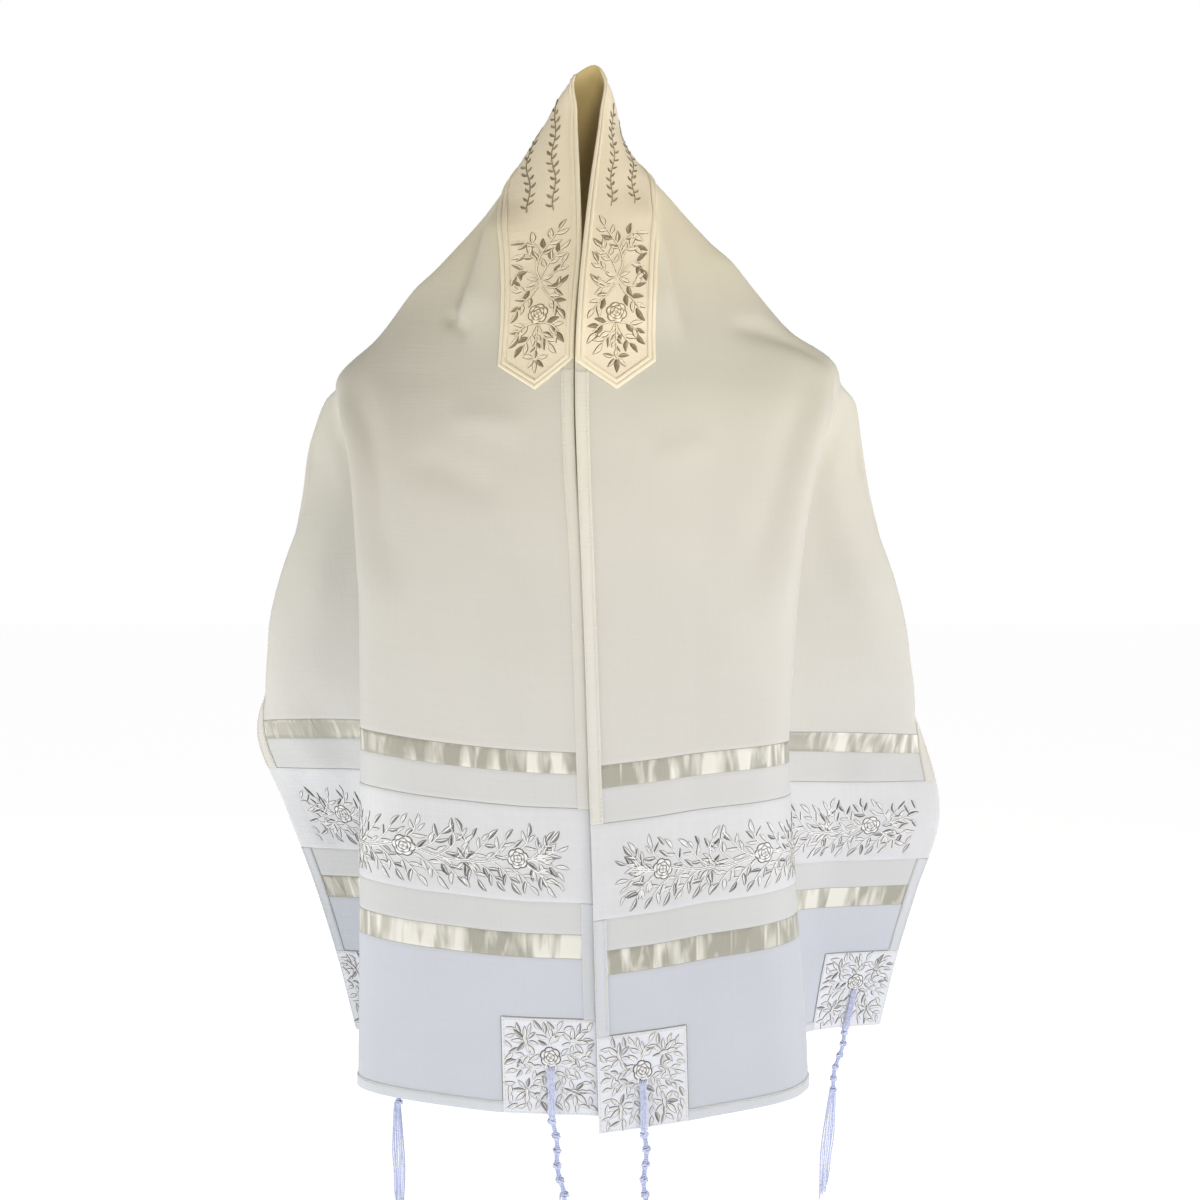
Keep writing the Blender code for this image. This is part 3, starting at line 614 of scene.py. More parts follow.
@dataclass(frozen=True)
class ClothFinish:
    """A woven cloth: its colours, threads, slubs and how it takes light.

    warm and cool are its colours near the middle and at the short ends, and hood
    the one of its very middle where that differs. On the cream wool the change from
    warm to cool is painted light, warm where the cloth hangs high and cool at its
    ends, and hood is painted light on the hood. Sizes in mm are real ones.
    """

    name: str
    warm: str
    cool: str
    thread_mm: float
    weave_depth: float
    slub_length_mm: float
    slub_strength: float
    roughness: float
    sheen: float
    blotch_dark: float = 0.96
    crumple_mm: float = 60.0
    crumple_depth: float = 0.0
    hood: str = ""
    # The colour painted inside the hood, as painted shade.
    inside_painted_shade: str = "#FFFFFF"

    @cache
    def material(self) -> Material:
        """Make the material, the first time it is asked for.

        Returns:
            The material.
        """
        made, add, shader = new_material(self.name)
        flat = add("UVMap", {"uv_map": FLAT_MAP})
        # Slubs are threads that swell for a few centimetres.
        slubs = self._threads(add, flat, 1000 / self.slub_length_mm, 1000 / (self.thread_mm * 2.4), 3.0)
        rough = add("MapRange", Value=slubs, From_Min=0.6, From_Max=1.4,
                    To_Min=self.roughness - 0.06, To_Max=self.roughness + 0.05)
        feed(shader, Base_Color=self._colour(add, flat, slubs), Normal=self._relief(add, flat, slubs),
             Roughness=rough, Sheen_Weight=self.sheen, Sheen_Roughness=0.45, Specular_IOR_Level=0.3)
        return made

    @staticmethod
    def _threads(add: Adder, flat: Node, along: float, apart: float, detail: float) -> Node:
        """Noise drawn out along the threads of both ways.

        Args:
            add: What adds a node to the material.
            flat: The flat map.
            along: How many cells of noise a metre of thread has.
            apart: How many threads lie side by side in a metre.
            detail: The noise's detail.

        Returns:
            The node that adds both ways.
        """
        ways = []
        for scale in ((along, apart, 1.0), (apart, along, 1.0)):
            laid = add("Mapping", i0=flat, Scale=scale)
            ways.append(add("TexNoise", Vector=laid, Scale=1.0, Detail=detail))
        return add("Math", {"operation": "ADD"}, i0=ways[0], i1=ways[1])

    def _colour(self, add: Adder, flat: Node, slubs: Node) -> Node:
        """The cloth's colour, blotched a little.

        Args:
            add: What adds a node to the material.
            flat: The flat map.
            slubs: The swollen threads.

        Returns:
            The node that gives the colour.
        """
        # The colour is painted warmer towards the middle of the cloth, which hangs highest,
        # and cooler at its ends: painted warm light above and cool light below, with the
        # hood painted lighter still.
        places = add("SeparateXYZ", Vector=flat)
        far = add("Math", {"operation": "ABSOLUTE"}, i0=places.outputs["X"])
        outer = add("ValToRGB", Fac=far, stops=(
            (0.05, self.hood or self.warm), (0.32, self.warm), (0.95, self.cool)))
        # Inside the hood the cloth is painted darker and yellower: painted shade, and the
        # warm light that has come through the cloth.
        face = add("Attribute", {"attribute_name": SHADE}).outputs["Fac"]
        inside = add("MapRange", Value=face, From_Min=0.2, From_Max=0.1)
        in_hood = add("MapRange", Value=far, From_Min=0.16, From_Max=0.30, To_Min=1.0, To_Max=0.0)
        deep = add("Math", {"operation": "MULTIPLY"}, i0=inside, i1=in_hood)
        tint = add("ValToRGB", Fac=deep, stops=((0.0, "#FFFFFF"), (1.0, self.inside_painted_shade)))
        tinted = add("VectorMath", {"operation": "MULTIPLY"}, i0=outer, i1=tint)
        solid = add("TexCoord").outputs["Object"]
        blotch = add("TexNoise", Vector=solid, Scale=9.0, Detail=2.0)
        both = add("Math", {"operation": "MULTIPLY_ADD"}, i0=slubs, i1=self.slub_strength, i2=blotch)
        tone = add("MapRange", Value=both, From_Min=0.35 + self.slub_strength * 0.7,
                   From_Max=0.65 + self.slub_strength * 1.3, To_Min=self.blotch_dark, To_Max=1.0)
        return add("VectorMath", {"operation": "SCALE"}, i0=tinted, Scale=tone)

    def _relief(self, add: Adder, flat: Node, slubs: Node) -> Node:
        """The threads as they cross over and under, none quite as thick as the next.

        Args:
            add: What adds a node to the material.
            flat: The flat map.
            slubs: The swollen threads.

        Returns:
            The bump node.
        """
        weave = self._threads(add, flat, 28.0, 1000 / self.thread_mm, 1.0)
        relief = add("Math", {"operation": "MULTIPLY_ADD"}, i0=slubs, i1=0.6, i2=weave)
        bump = add("Bump", Height=relief, Strength=self.weave_depth, Distance=self.thread_mm * MM * 0.4)
        if self.crumple_depth:
            laid = add("Mapping", i0=flat, Scale=(1.0, 1.7, 1.0))
            crumple = add("TexNoise", Vector=laid, Scale=1000 / self.crumple_mm, Detail=1.5)
            bump = add("Bump", Height=crumple, Strength=1.0, Distance=self.crumple_depth * MM, Normal=bump)
        return bump


@dataclass(frozen=True)
class SatinFinish:
    """Satin ribbon: long floats that shine in patches where it puckers; the patches are painted sheen."""

    name: str
    dark: str
    light: str
    roughness: float

    @cache
    def material(self) -> Material:
        """Make the material, the first time it is asked for.

        Returns:
            The material.
        """
        made, add, shader = new_material(self.name)
        flat = add("UVMap", {"uv_map": FLAT_MAP})
        # Long stretches are painted bright or dull as painted sheen, and slanted dents 4 to 8 mm wide
        # cross them, in its relief and in its painted sheen.
        stretch = add("Mapping", i0=flat, Location=(0.37, 0.11, 0.0), Scale=(3.0, 11.0, 1.0))
        broad = add("TexNoise", Vector=stretch, Scale=1.0, Detail=1.0)
        slant = add("Mapping", i0=flat, Rotation=(0.0, 0.0, 0.5), Scale=(20.0, 95.0, 1.0))
        dents = add("TexNoise", Vector=slant, Scale=1.0, Detail=2.0, Distortion=0.5)
        both = add("Math", {"operation": "ADD"}, i0=broad, i1=dents)
        half = add("Math", {"operation": "MULTIPLY"}, i0=both, i1=0.5)
        colour = add("ValToRGB", Fac=half, stops=((0.47, self.dark), (0.58, self.light)))
        # Floats 0.3 mm apart, drawn 1.2 mm apart so that they show.
        floats = add("Mapping", i0=flat, Scale=(820.0, 60.0, 1.0))
        thread = add("TexNoise", Vector=floats, Scale=1.0, Detail=1.0)
        fine = add("Bump", Height=thread, Strength=0.25, Distance=0.0002)
        bump = add("Bump", Height=dents, Strength=0.8, Distance=0.0016, Normal=fine)
        rough = add("MapRange", Value=thread, To_Min=self.roughness - 0.05, To_Max=self.roughness + 0.10)
        feed(shader, Base_Color=colour, Normal=bump, Roughness=rough, Sheen_Weight=0.2,
             Specular_IOR_Level=0.7, Anisotropic=0.5)
        return made


@dataclass(frozen=True)
class ThreadFinish:
    """Embroidery or sewing thread, laid in close parallel stitches."""

    name: str
    dark: str
    middle: str
    light: str
    stitch_mm: float
    roughness: float
    sheen: float
    relief: float = 0.6

    @cache
    def material(self) -> Material:
        """Make the material, the first time it is asked for.

        Returns:
            The material.
        """
        made, add, shader = new_material(self.name)
        flat = add("UVMap", {"uv_map": FLAT_MAP})
        shade = add("Attribute", {"attribute_name": SHADE}).outputs["Fac"]
        # A wave texture has 20 bands to a unit at a scale of 1.
        wave = add("TexWave", {"bands_direction": "X"}, Vector=flat,
                   Scale=1000 / self.stitch_mm / 20, Distortion=0.8, Detail=1.0)
        stitch = wave.outputs["Fac"]
        uneven = add("TexNoise", Vector=flat, Scale=420.0, Detail=1.0)
        lit = add("Math", {"operation": "MULTIPLY_ADD"}, i0=uneven, i1=0.24, i2=shade)
        centred = add("Math", {"operation": "SUBTRACT", "use_clamp": True}, i0=lit, i1=0.12)
        colour = add("ValToRGB", Fac=centred, stops=((0.0, self.dark), (0.5, self.middle), (1.0, self.light)))
        bump = add("Bump", Height=stitch, Strength=self.relief, Distance=self.stitch_mm * MM * 0.5)
        rough = add("MapRange", Value=stitch, To_Min=self.roughness + 0.12, To_Max=self.roughness)
        feed(shader, Base_Color=colour, Normal=bump, Roughness=rough, Sheen_Weight=self.sheen,
             Specular_IOR_Level=0.55)
        return made


# A cloth's numbers are its thread, weave depth, slub length, slub strength,
# roughness and sheen, and a thread's are its stitch, roughness and sheen.

# Worsted wool and viscose, a smooth plain weave. To the eye it is matt, with
# faint crossing threads and the odd thick one. Threads 0.5 mm apart, drawn 1.6.
# Its lighter, warmer hood and its cooler ends are painted light.
WOOL = ClothFinish("wool_viscose_cream", "#C8C6BB", "#D3D4D6", 1.6, 0.22, 90.0, 0.35, 0.86, 0.30,
                   hood="#EEE4C6", inside_painted_shade="#BFB390")
# The end panels are the same cloth bleached white; their bluish tone is partly
# painted cool light, like the cool ends of the cream wool.
WHITE_WOOL = ClothFinish("wool_viscose_white", "#CBCED6", "#C9CED9", 1.6, 0.22, 90.0, 0.35, 0.86, 0.30)
# Hem strips are cut from the same two cloths, folded twice and pressed, which
# leaves them smoother; their colour is set a little lighter.
HEM_WOOL = ClothFinish("wool_hem_cream", "#D8D5CA", "#DADBDC", 1.9, 0.30, 60.0, 0.35, 0.80, 0.35)
WHITE_HEM_WOOL = ClothFinish("wool_hem_white", "#D2D5DB", "#D1D6DF", 1.9, 0.30, 60.0, 0.35, 0.80, 0.35)
# Dupion silk, woven from uneven double yarn: slubs run along its threads, it
# glows softly and stays a little crumpled. The band's is white.
SILK = ClothFinish("silk_dupion_white", "#D9DADD", "#D7DAE1", 1.5, 0.35, 40.0, 0.55, 0.50, 0.30,
                   blotch_dark=0.93, crumple_mm=55.0, crumple_depth=2.2)
# Light habotai silk in a plain weave, smooth and a little greyer, beside the band.
PLAIN_SILK = ClothFinish("silk_habotai_grey", "#D0D0CF", "#CDD0D4", 1.5, 0.22, 60.0, 0.45, 0.60, 0.25)
# The whitest dupion, stretched flat, for the corner squares.
SQUARE_SILK = ClothFinish("silk_dupion_snow", "#E6E9F2", "#E6EAF5", 1.5, 0.35, 40.0, 0.55, 0.50, 0.30,
                          blotch_dark=0.93, crumple_mm=55.0, crumple_depth=1.2)
# Undyed dupion, which is ivory, for the collar band.
COLLAR_SILK = ClothFinish("silk_dupion_ivory", "#EAE0C8", "#EAE2CB", 1.5, 0.35, 40.0, 0.55, 0.50, 0.30,
                          blotch_dark=0.97, crumple_mm=50.0, crumple_depth=1.2)
# The same silk cut on the bias and rolled, with closer threads and more shine.
COLLAR_BINDING = ClothFinish("silk_binding_ivory", "#E9E0C8", "#E9E1CB", 1.3, 0.35, 30.0, 0.45, 0.48, 0.35)
# Woven satin ribbon, gathered a little; light and dull patches of painted sheen cross it.
SATIN = SatinFinish("satin_ribbon_champagne", "#A2A195", "#E2E1DA", 0.34)
# Viscose embroidery thread, 0.4 mm thick, drawn 0.7: it glints along each stitch.
SILVER_THREAD = ThreadFinish("viscose_thread_silver", "#34332F", "#B9B8B6", "#F6F7FB", 0.7, 0.34, 0.25)
COLLAR_THREAD = ThreadFinish("viscose_thread_taupe", "#665943", "#B3A383", "#F8EFD8", 0.7, 0.34, 0.25)
# Spun cotton sewing thread, matt: in the seams it is painted dark grey, as painted
# shadow where a folded edge lies on the next panel, and cream on the hems.
SEAM_SHADOW_THREAD = ThreadFinish("cotton_seam_thread", "#8E8F8C", "#A9AAA6", "#C9C9C4", 0.8, 0.70, 0.1)
HEM_THREAD = ThreadFinish("cotton_hem_thread", "#C9C4B0", "#DAD6C6", "#EFECE0", 0.8, 0.65, 0.1)
# Plied wool cord, bleached; it is fuzzy and looks cool beside the cream cloth, and
# its darker blue tones are painted shade, darkest on the core.
CORD_WOOL = ThreadFinish("wool_cord_white", "#97A7DE", "#C4CFF6", "#ECF0FF", 1.1, 0.80, 0.4, 0.8)


def finish_piece(piece: Object, slot: str, nodes: Sequence[str] = ()) -> Object:
    """Put a piece on the part and report it.

    Args:
        piece: The new object.
        slot: The record's material slot that its finish comes from. It is not used.
        nodes: The CAD nodes that it stands for.

    Returns:
        The same object.
    """
    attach(piece, BODY)
    if nodes:
        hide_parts(*nodes)
    LOG.info("%s: %d faces", piece.name, len(piece.data.polygons))
    return piece


# --------------------------------------------------------------- cloth pieces
def eyelet_hole(across: float) -> Box:
    """The least and greatest along, then across, of an eyelet by its middle."""
    half = EYELET_SIDE / 2
    return SQUARE_MIDDLE - half, SQUARE_MIDDLE + half, across - half, across + half


@dataclass(frozen=True)
class Puckers:
    """Small waves across a gathered ribbon, uneven in width and depth.

    side makes the two halves of the cloth differ, and lean is how far the waves
    lean along the cloth.
    """

    side: int
    lean: float = 0.5
    depth: float = 0.34

    def height(self, s: Array, u: Array) -> Array:
        """How far the waves lift the ribbon.

        Args:
            s: Flat places along.
            u: Flat places across.

        Returns:
            A height for each place.
        """
        place = u + self.lean * np.abs(s)
        wave = (np.sin(place / 2.9 + self.side) + 0.8 * np.sin(place / 4.7 + 1.3 * self.side)
                + 0.6 * np.sin(place / 1.9 + 2.1))
        swell = 0.55 + 0.45 * np.sin(u / 31.0 + 1.7 * self.side)
        return self.depth * swell * wave / 2.4


@dataclass
class Panels:
    """The wool cloth and the stripes, band and end panel at each end."""

    drape: Drape
    thickness: float = 1.0
    band_proud: float = 0.35
    satin_proud: float = 0.12

    def build(self) -> None:
        """Make every panel."""
        self._wool()
        for side in Side:
            self._end(side)

    def _cut(self, start: float, end: float, proud: float = 0.0, puffs: Height | None = None,
             holes: Sequence[Box] = ()) -> Mesh:
        """A full-width panel.

        Args:
            start: Where it starts along the cloth.
            end: Where it ends.
            proud: How far it stands out of the wool.
            puffs: Small heights on its face.
            holes: Its eyelets.

        Returns:
            The panel's mesh.
        """
        half = self.thickness / 2
        return Cut((start, end), (0, CLOTH_WIDTH), -half, half + proud, puffs, holes=holes).build(self.drape)

    def _wool(self) -> None:
        """The hood, shoulders and body as one cloth."""
        nodes = ["hood_panel"]
        for side in Side:
            nodes += [f"shoulder_panel_{side.word}", f"body_panel_{side.word}"]
        mesh = self._cut(-SATIN_UPPER, SATIN_UPPER)
        piece = finish_piece(mesh.to_object("wool_cloth", WOOL.material()), "cream_wool", nodes)

    def _end(self, side: Side) -> None:
        """The stripes, embroidered band and end panel of one end.

        Args:
            side: Which end.
        """
        ribbon, satin = Puckers(side.value).height, self.satin_proud
        eyelets = [eyelet_hole(corner.value) for corner in Corner]
        stripes = [
            ("satin_upper", SATIN_UPPER, PLAIN_UPPER, satin, ribbon, SATIN, "satin"),
            ("plain_upper", PLAIN_UPPER, BAND, 0.0, None, PLAIN_SILK, "silk"),
            ("embroidered_band", BAND, PLAIN_LOWER, self.band_proud, None, SILK, "silk"),
            ("plain_lower", PLAIN_LOWER, SATIN_LOWER, 0.0, None, PLAIN_SILK, "silk"),
            ("satin_lower", SATIN_LOWER, END_PANEL, satin, ribbon, SATIN, "satin"),
            ("end_panel", END_PANEL, HALF_LENGTH, 0.0, None, WHITE_WOOL, "white_wool"),
        ]
        for word, top, bottom, proud, puffs, finish, slot in stripes:
            node = f"{word}_{side.word}"
            holes = eyelets if word == "end_panel" else ()
            mesh = self._cut(side.value * top, side.value * bottom, proud, puffs, holes)
            piece = finish_piece(mesh.to_object(f"{node}_cloth", finish.material()), slot, [node])


@dataclass
class Hems:
    """The folded strips on the face along the long and short edges."""

    drape: Drape
    low: float = 0.55
    high: float = 1.25
    rim: float = 0.8

    def build(self) -> None:
        """Make every strip."""
        far = (CLOTH_WIDTH - HEM_WIDTH, CLOTH_WIDTH)
        self._strip("far_hem", (-BAND, BAND), far, HEM_WOOL, "cream_wool")
        for side in Side:
            sign, word = side.value, side.word
            white = (WHITE_HEM_WOOL, "white_wool")
            collar = (sign * COLLAR_HEM_START, sign * BAND)
            self._strip(f"collar_hem_{word}", collar, (0, HEM_WIDTH), HEM_WOOL, "cream_wool")
            lower = (sign * PLAIN_LOWER, sign * SQUARE_TOP)
            self._strip(f"front_hem_{word}", lower, (0, HEM_WIDTH), *white)
            self._strip(f"wing_hem_{word}", lower, far, *white)
            bottom = (sign * (HALF_LENGTH - BOTTOM_HEM_WIDTH), sign * HALF_LENGTH)
            self._strip(f"bottom_hem_{word}", bottom, (SQUARE_SIDE, CLOTH_WIDTH - SQUARE_SIDE), *white)

    def _strip(self, node: str, along: Pair, across: Pair, finish: ClothFinish, slot: str) -> None:
        """One strip, made to its flat size.

        Args:
            node: The CAD node that it stands for.
            along: Its first and last place along.
            across: Its first and last place across.
            finish: What it is made of.
            slot: The record's material slot.
        """
        mesh = Cut(along, across, self.low, self.high, self._roll, self.rim).build(self.drape)
        piece = finish_piece(mesh.to_object(f"{node}_strip", finish.material()), slot, [node])

    @staticmethod
    def _roll(s: Array, u: Array) -> Array:
        """A folded strip is uneven to the touch."""
        return 0.12 * np.sin(s / 7.3 + 0.8 * np.sin(s / 31.0)) * np.cos(u / 5.0)


# ----------------------------------------------------------------- needlework
@dataclass(frozen=True)
class Ground:
    """A place on the cloth with y up and x to the right as it is faced.

    Where it is mirrored, x runs to the left instead.
    """

    side: int
    along: float = 0.0
    across: float = 0.0
    mirrored: bool = False

    @property
    def hand(self) -> int:
        """1 where x runs to the right, -1 where it is mirrored."""
        return -1 if self.mirrored else 1

    def flat(self, x: Array, y: Array) -> tuple[Array, Array]:
        """Flat along and across of places on the ground."""
        return self.side * (self.along - np.asarray(y)), self.across + self.side * self.hand * np.asarray(x)


@dataclass(frozen=True)
class Spray:
    """A spray of a motif: the places that its stem goes through, and its leaves.

    size is a leaf's length, width the stem's, and first the part of the stem
    that is bare.
    """

    ends: tuple[Pair, ...]
    leaves: int
    size: float = 11.5
    width: float = 1.5
    first: float = 0.26


@dataclass(frozen=True)
class LeafPalette:
    """Shades of the two halves of a leaf, with how often each pair comes.

    girth is a leaf's width as a share of its length. Where a pair's two shades
    differ, the lighter half is painted sheen and the darker one painted shade, as on
    stitches laid two ways; pairs that are both low are dark thread.
    """

    pairs: tuple[Pair, ...]
    chances: tuple[float, ...]
    stem: float = 0.9
    girth: float = 0.235

    def pick(self, rng: np.random.Generator) -> Pair:
        """One pair of shades."""
        return self.pairs[rng.choice(len(self.pairs), p=self.chances)]


SILVER_LEAVES = LeafPalette(((0.98, 0.86), (0.96, 0.22), (0.60, 0.08), (0.84, 0.98)),
                            (0.36, 0.30, 0.10, 0.24), 0.98)
TAUPE_LEAVES = LeafPalette(((0.30, 0.14), (1.0, 0.92), (0.96, 0.30), (0.50, 0.20)),
                           (0.22, 0.44, 0.22, 0.12), 0.95, 0.30)
SQUARE_LEAVES = LeafPalette(((0.98, 0.86), (0.92, 0.40), (0.60, 0.20), (0.84, 0.98)),
                            (0.42, 0.22, 0.06, 0.30), 0.98, 0.31)
LIGHT_TAUPE_LEAVES = LeafPalette(((1.0, 0.92), (0.92, 1.0)), (0.5, 0.5), 0.95, 0.30)
DARK_TAUPE_LEAVES = LeafPalette(((0.25, 0.12), (0.50, 0.20)), (0.6, 0.4), 0.40)

# Width of the dark stroke round a leaf, as a share of the leaf's length.
LEAF_OUTLINE = 0.058
# From a leaf's rib to its outer edge: the places of its lines of points, their
# heights, and the share of the stroke that lies inside each.
LEAF_ACROSS = np.array([0.0, 0.40, 0.80, 0.91, 1.0])
LEAF_RISE = np.array([0.34, 0.70, 0.58, 0.30, -0.14])
LEAF_STROKE = np.array([0.0, 0.0, 0.0, 0.2, 1.0])
# Across a stem, the same.
STEM_ACROSS = np.array([-1.0, -0.74, -0.54, 0.54, 0.74, 1.0])
STEM_RISE = np.array([-0.12, 0.16, 0.34, 0.34, 0.16, -0.12])
# A rose's rings: outer and inner reach, number of petals, and height.
ROSE_RINGS = ((1.0, 0.60, 6, 0.16), (0.68, 0.34, 5, 0.40), (0.40, 0.10, 4, 0.62))
# Across a petal from its foot to its rim: its heights, and its shades, painted darker at the foot as shade under the
# ring inside it and lighter where it swells as painted highlight.
PETAL_RISE = np.array([0.0, 0.42, 0.60, 0.52, -0.14])
PETAL_PAINTED_LIGHT = np.array([0.2, 0.7, 1.0, 1.0, 0.8])


def run_along(points: Array) -> Array:
    """The distance along a line of points to each of them."""
    return np.concatenate([[0], np.cumsum(np.linalg.norm(np.diff(points, axis=0), axis=1))])


def beside(line: Array, offsets: Array) -> tuple[Array, Array]:
    """Lines beside a line.

    Args:
        line: Its places x, y.
        offsets: How far to the left of it each of the others lies.

    Returns:
        x and y of a grid, with a row for each place and a column for each offset.
    """
    way = np.gradient(line, axis=0)
    way /= np.linalg.norm(way, axis=1, keepdims=True)
    return line[:, :1] - way[:, 1:] * offsets, line[:, 1:] + way[:, :1] * offsets


@dataclass
class Needle:
    """Stitches laid on the drape: leaves, stems, petals and running stitch.

    base is the height of the cloth's face, and ground where the motif in hand
    lies. reach is how far to either side of its middle leaves may lie, rng the
    source of small differences between them, and taken holds their middles.
    """

    drape: Drape
    base: float
    palette: LeafPalette = SILVER_LEAVES
    ground: Ground = Ground(1)
    reach: float = math.inf
    rng: np.random.Generator | None = None
    mesh: Mesh = field(default_factory=Mesh)
    taken: list[Pair] = field(default_factory=list)

    def patch(self, x: Array, y: Array, height: Array, grain: Array, shade: float | Array) -> None:
        """Add a grid of points as faces.

        Args:
            x: Places to the right, rows by columns.
            y: Places up.
            height: Heights over the base.
            grain: The stitches' own coordinate across them, in millimetres.
            shade: The thread's shade.
        """
        rows, columns = x.shape
        s, u = self.ground.flat(x.ravel(), y.ravel())
        points = self.drape.at(s, u, self.base + height.ravel())
        flat = np.stack([grain.ravel(), u + 0.3 * s], 1)
        turn = (x[0, -1] - x[0, 0]) * (y[-1, 0] - y[0, 0]) - (y[0, -1] - y[0, 0]) * (x[-1, 0] - x[0, 0])
        self.mesh.add(points, grid_faces(rows, columns, flip=turn * self.ground.hand > 0), flat, shade)

    def leaf(self, x: float, y: float, angle: float, length: float, bend: float) -> None:
        """A pointed leaf in satin stitch: two halves beside a rib, in a thin dark outline.

        Args:
            x: Its stalk end to the right.
            y: Its stalk end up.
            angle: Where it points, in degrees from the right.
            length: From stalk to tip.
            bend: How far it bows, as a share of its length.
        """
        width = length * self.palette.girth * self.rng.uniform(0.9, 1.1)
        shades = self.palette.pick(self.rng)
        t = np.linspace(0, 1, 9)[:, None]
        half = 0.5 * width * np.sin(np.pi * t ** 0.88) ** 1.25
        turned = np.radians(angle)
        # A leaf that would cross the motif's limits is moved in.
        for end in (x, x + length * math.cos(turned)):
            x -= math.copysign(max(0.0, abs(end) - self.reach), end)
        bow = bend * length * 2 * t * (1 - t)
        v = LEAF_ACROSS[None, :]
        rise = LEAF_RISE[None, :] * np.clip(np.sin(np.pi * t) * 2.4, 0, 1) - 0.03
        stroke = LEAF_OUTLINE * length * np.clip(np.sin(np.pi * t) * 3.0, 0.4, 1) * LEAF_STROKE
        # The outline is heavier on the half painted in shade, as painted shadow beside the leaf.
        shaded_half_sign = 1 if shades[0] < shades[1] else -1
        for sign, shade in zip((1, -1), shades):
            weight, rim = (1.0, 0.0) if sign == shaded_half_sign else (0.85, 0.06)
            aside = bow + sign * (half * v + stroke * weight)
            ahead = t * length + 0 * v
            px = x + ahead * np.cos(turned) - aside * np.sin(turned)
            py = y + ahead * np.sin(turned) + aside * np.cos(turned)
            # Each half is painted darker along the rib, as shade in its groove.
            tone = np.array([shade * 0.72, shade, shade, rim, rim])[None, :] + 0 * t
            self.patch(px, py, rise, ahead - v * half * 0.9, tone.ravel())
        middle = 0.5 * length
        self.taken.append(self.ground.flat(x + middle * math.cos(turned), y + middle * math.sin(turned)))

    def stem(self, ends: Sequence[Pair], width: float, shade: float) -> None:
        """A raised line of stitches along a smooth curve.

        Args:
            ends: Places that the curve goes through, in order.
            width: The line's width.
            shade: The thread's shade.
        """
        ends = np.asarray(ends, float)
        run = run_along(ends)
        reach = np.linspace(0, run[-1], max(5, int(run[-1] / 1.8)))
        v = STEM_ACROSS * width / 2
        px, py = beside(smooth_through(run, ends, reach), v)
        rise = STEM_RISE * np.clip(width, 0.5, 1.4) + 0 * px
        tone = np.array([0.0, 0.0, shade, shade, 0.0, 0.0]) + 0 * px
        self.patch(px, py, rise, reach[:, None] + v * 0.8, tone.ravel())

    def thread(self, line: Array, width: float, shade: float, heights: Pair, grain: Array) -> None:
        """A thin half-round thread.

        Args:
            line: Places x, y along it.
            width: Its width.
            shade: Its shade.
            heights: Heights of its edges and of its middle.
            grain: The stitches' own coordinate at each place.
        """
        edge, middle = heights
        px, py = beside(line, np.array([-0.5, 0.0, 0.5]) * width)
        rise = np.array([edge, middle, edge]) + 0 * px
        self.patch(px, py, rise, grain[:, None] + 0 * px, shade)

    def fill(self, box: Box, way: LeafWay, size: float, spacing: float) -> None:
        """Small leaves wherever a motif leaves room for one.

        Args:
            box: The motif's least and greatest x, then y.
            way: The direction in degrees of a leaf at x and y, or None for no leaf.
            size: Length of a leaf.
            spacing: The room that a leaf's middle needs.
        """
        left, right, low, high = box
        step = spacing * 0.45
        for y in np.arange(low, high, step):
            for x in np.arange(left, right, step):
                px = x + self.rng.uniform(-0.3, 0.3) * step
                py = y + self.rng.uniform(-0.3, 0.3) * step
                angle = way(px, py)
                s, u = self.ground.flat(px, py)
                if angle is None or any(math.hypot(s - a, u - b) < spacing for a, b in self.taken):
                    continue
                turned = math.radians(angle + self.rng.uniform(-12, 12))
                long = size * self.rng.uniform(0.85, 1.1)
                self.leaf(px - 0.5 * long * math.cos(turned), py - 0.5 * long * math.sin(turned),
                          math.degrees(turned), long, 0.14)

    def spray(self, spray: Spray) -> None:
        """A curved stem with a leaf at its tip and others on alternate sides.

        Args:
            spray: Its stem's places, and its leaves.
        """
        self.stem(spray.ends, spray.width, self.palette.stem)
        ends = np.asarray(spray.ends, float)
        run = run_along(ends)
        places = np.linspace(spray.first, 1.0, spray.leaves) * run[-1]
        line = smooth_through(run, ends, places)
        ahead = smooth_through(run, ends, np.minimum(places + 0.5, run[-1]))
        behind = smooth_through(run, ends, places - 0.8)
        for index, (place, way) in enumerate(zip(line, ahead - behind)):
            angle = math.degrees(math.atan2(way[1], way[0]))
            last = index == spray.leaves - 1
            turn = 1 if index % 2 else -1
            off = self.rng.uniform(-6, 6) if last else (40 + self.rng.uniform(-8, 10)) * turn
            length = spray.size * (1.12 if last else 1.0) * self.rng.uniform(0.86, 1.12)
            self.leaf(place[0], place[1], angle + off, length, 0.16 * turn)

    def star(self, x: float, y: float, petals: Sequence[Pair]) -> None:
        """Slim leaves that spread from one place.

        Args:
            x: Its middle to the right.
            y: Its middle up.
            petals: Angle in degrees and length of each leaf.
        """
        start = 2.2
        for angle, length in petals:
            px = x + start * math.cos(math.radians(angle))
            py = y + start * math.sin(math.radians(angle))
            long = length * self.rng.uniform(0.92, 1.08)
            self.leaf(px, py, angle + self.rng.uniform(-5, 5), long, 0.08)

    def rose(self, x: float, y: float, radius: float, turn: float) -> None:
        """A full rose: rings of petals round a folded heart.

        Args:
            x: Its middle to the right.
            y: Its middle up.
            radius: To the tips of its outer petals.
            turn: How far it is turned, in degrees.
        """
        def swell(count: int) -> Array:
            """How full a petal is at places along its rim."""
            return np.sin(np.linspace(0, np.pi, count))[:, None]

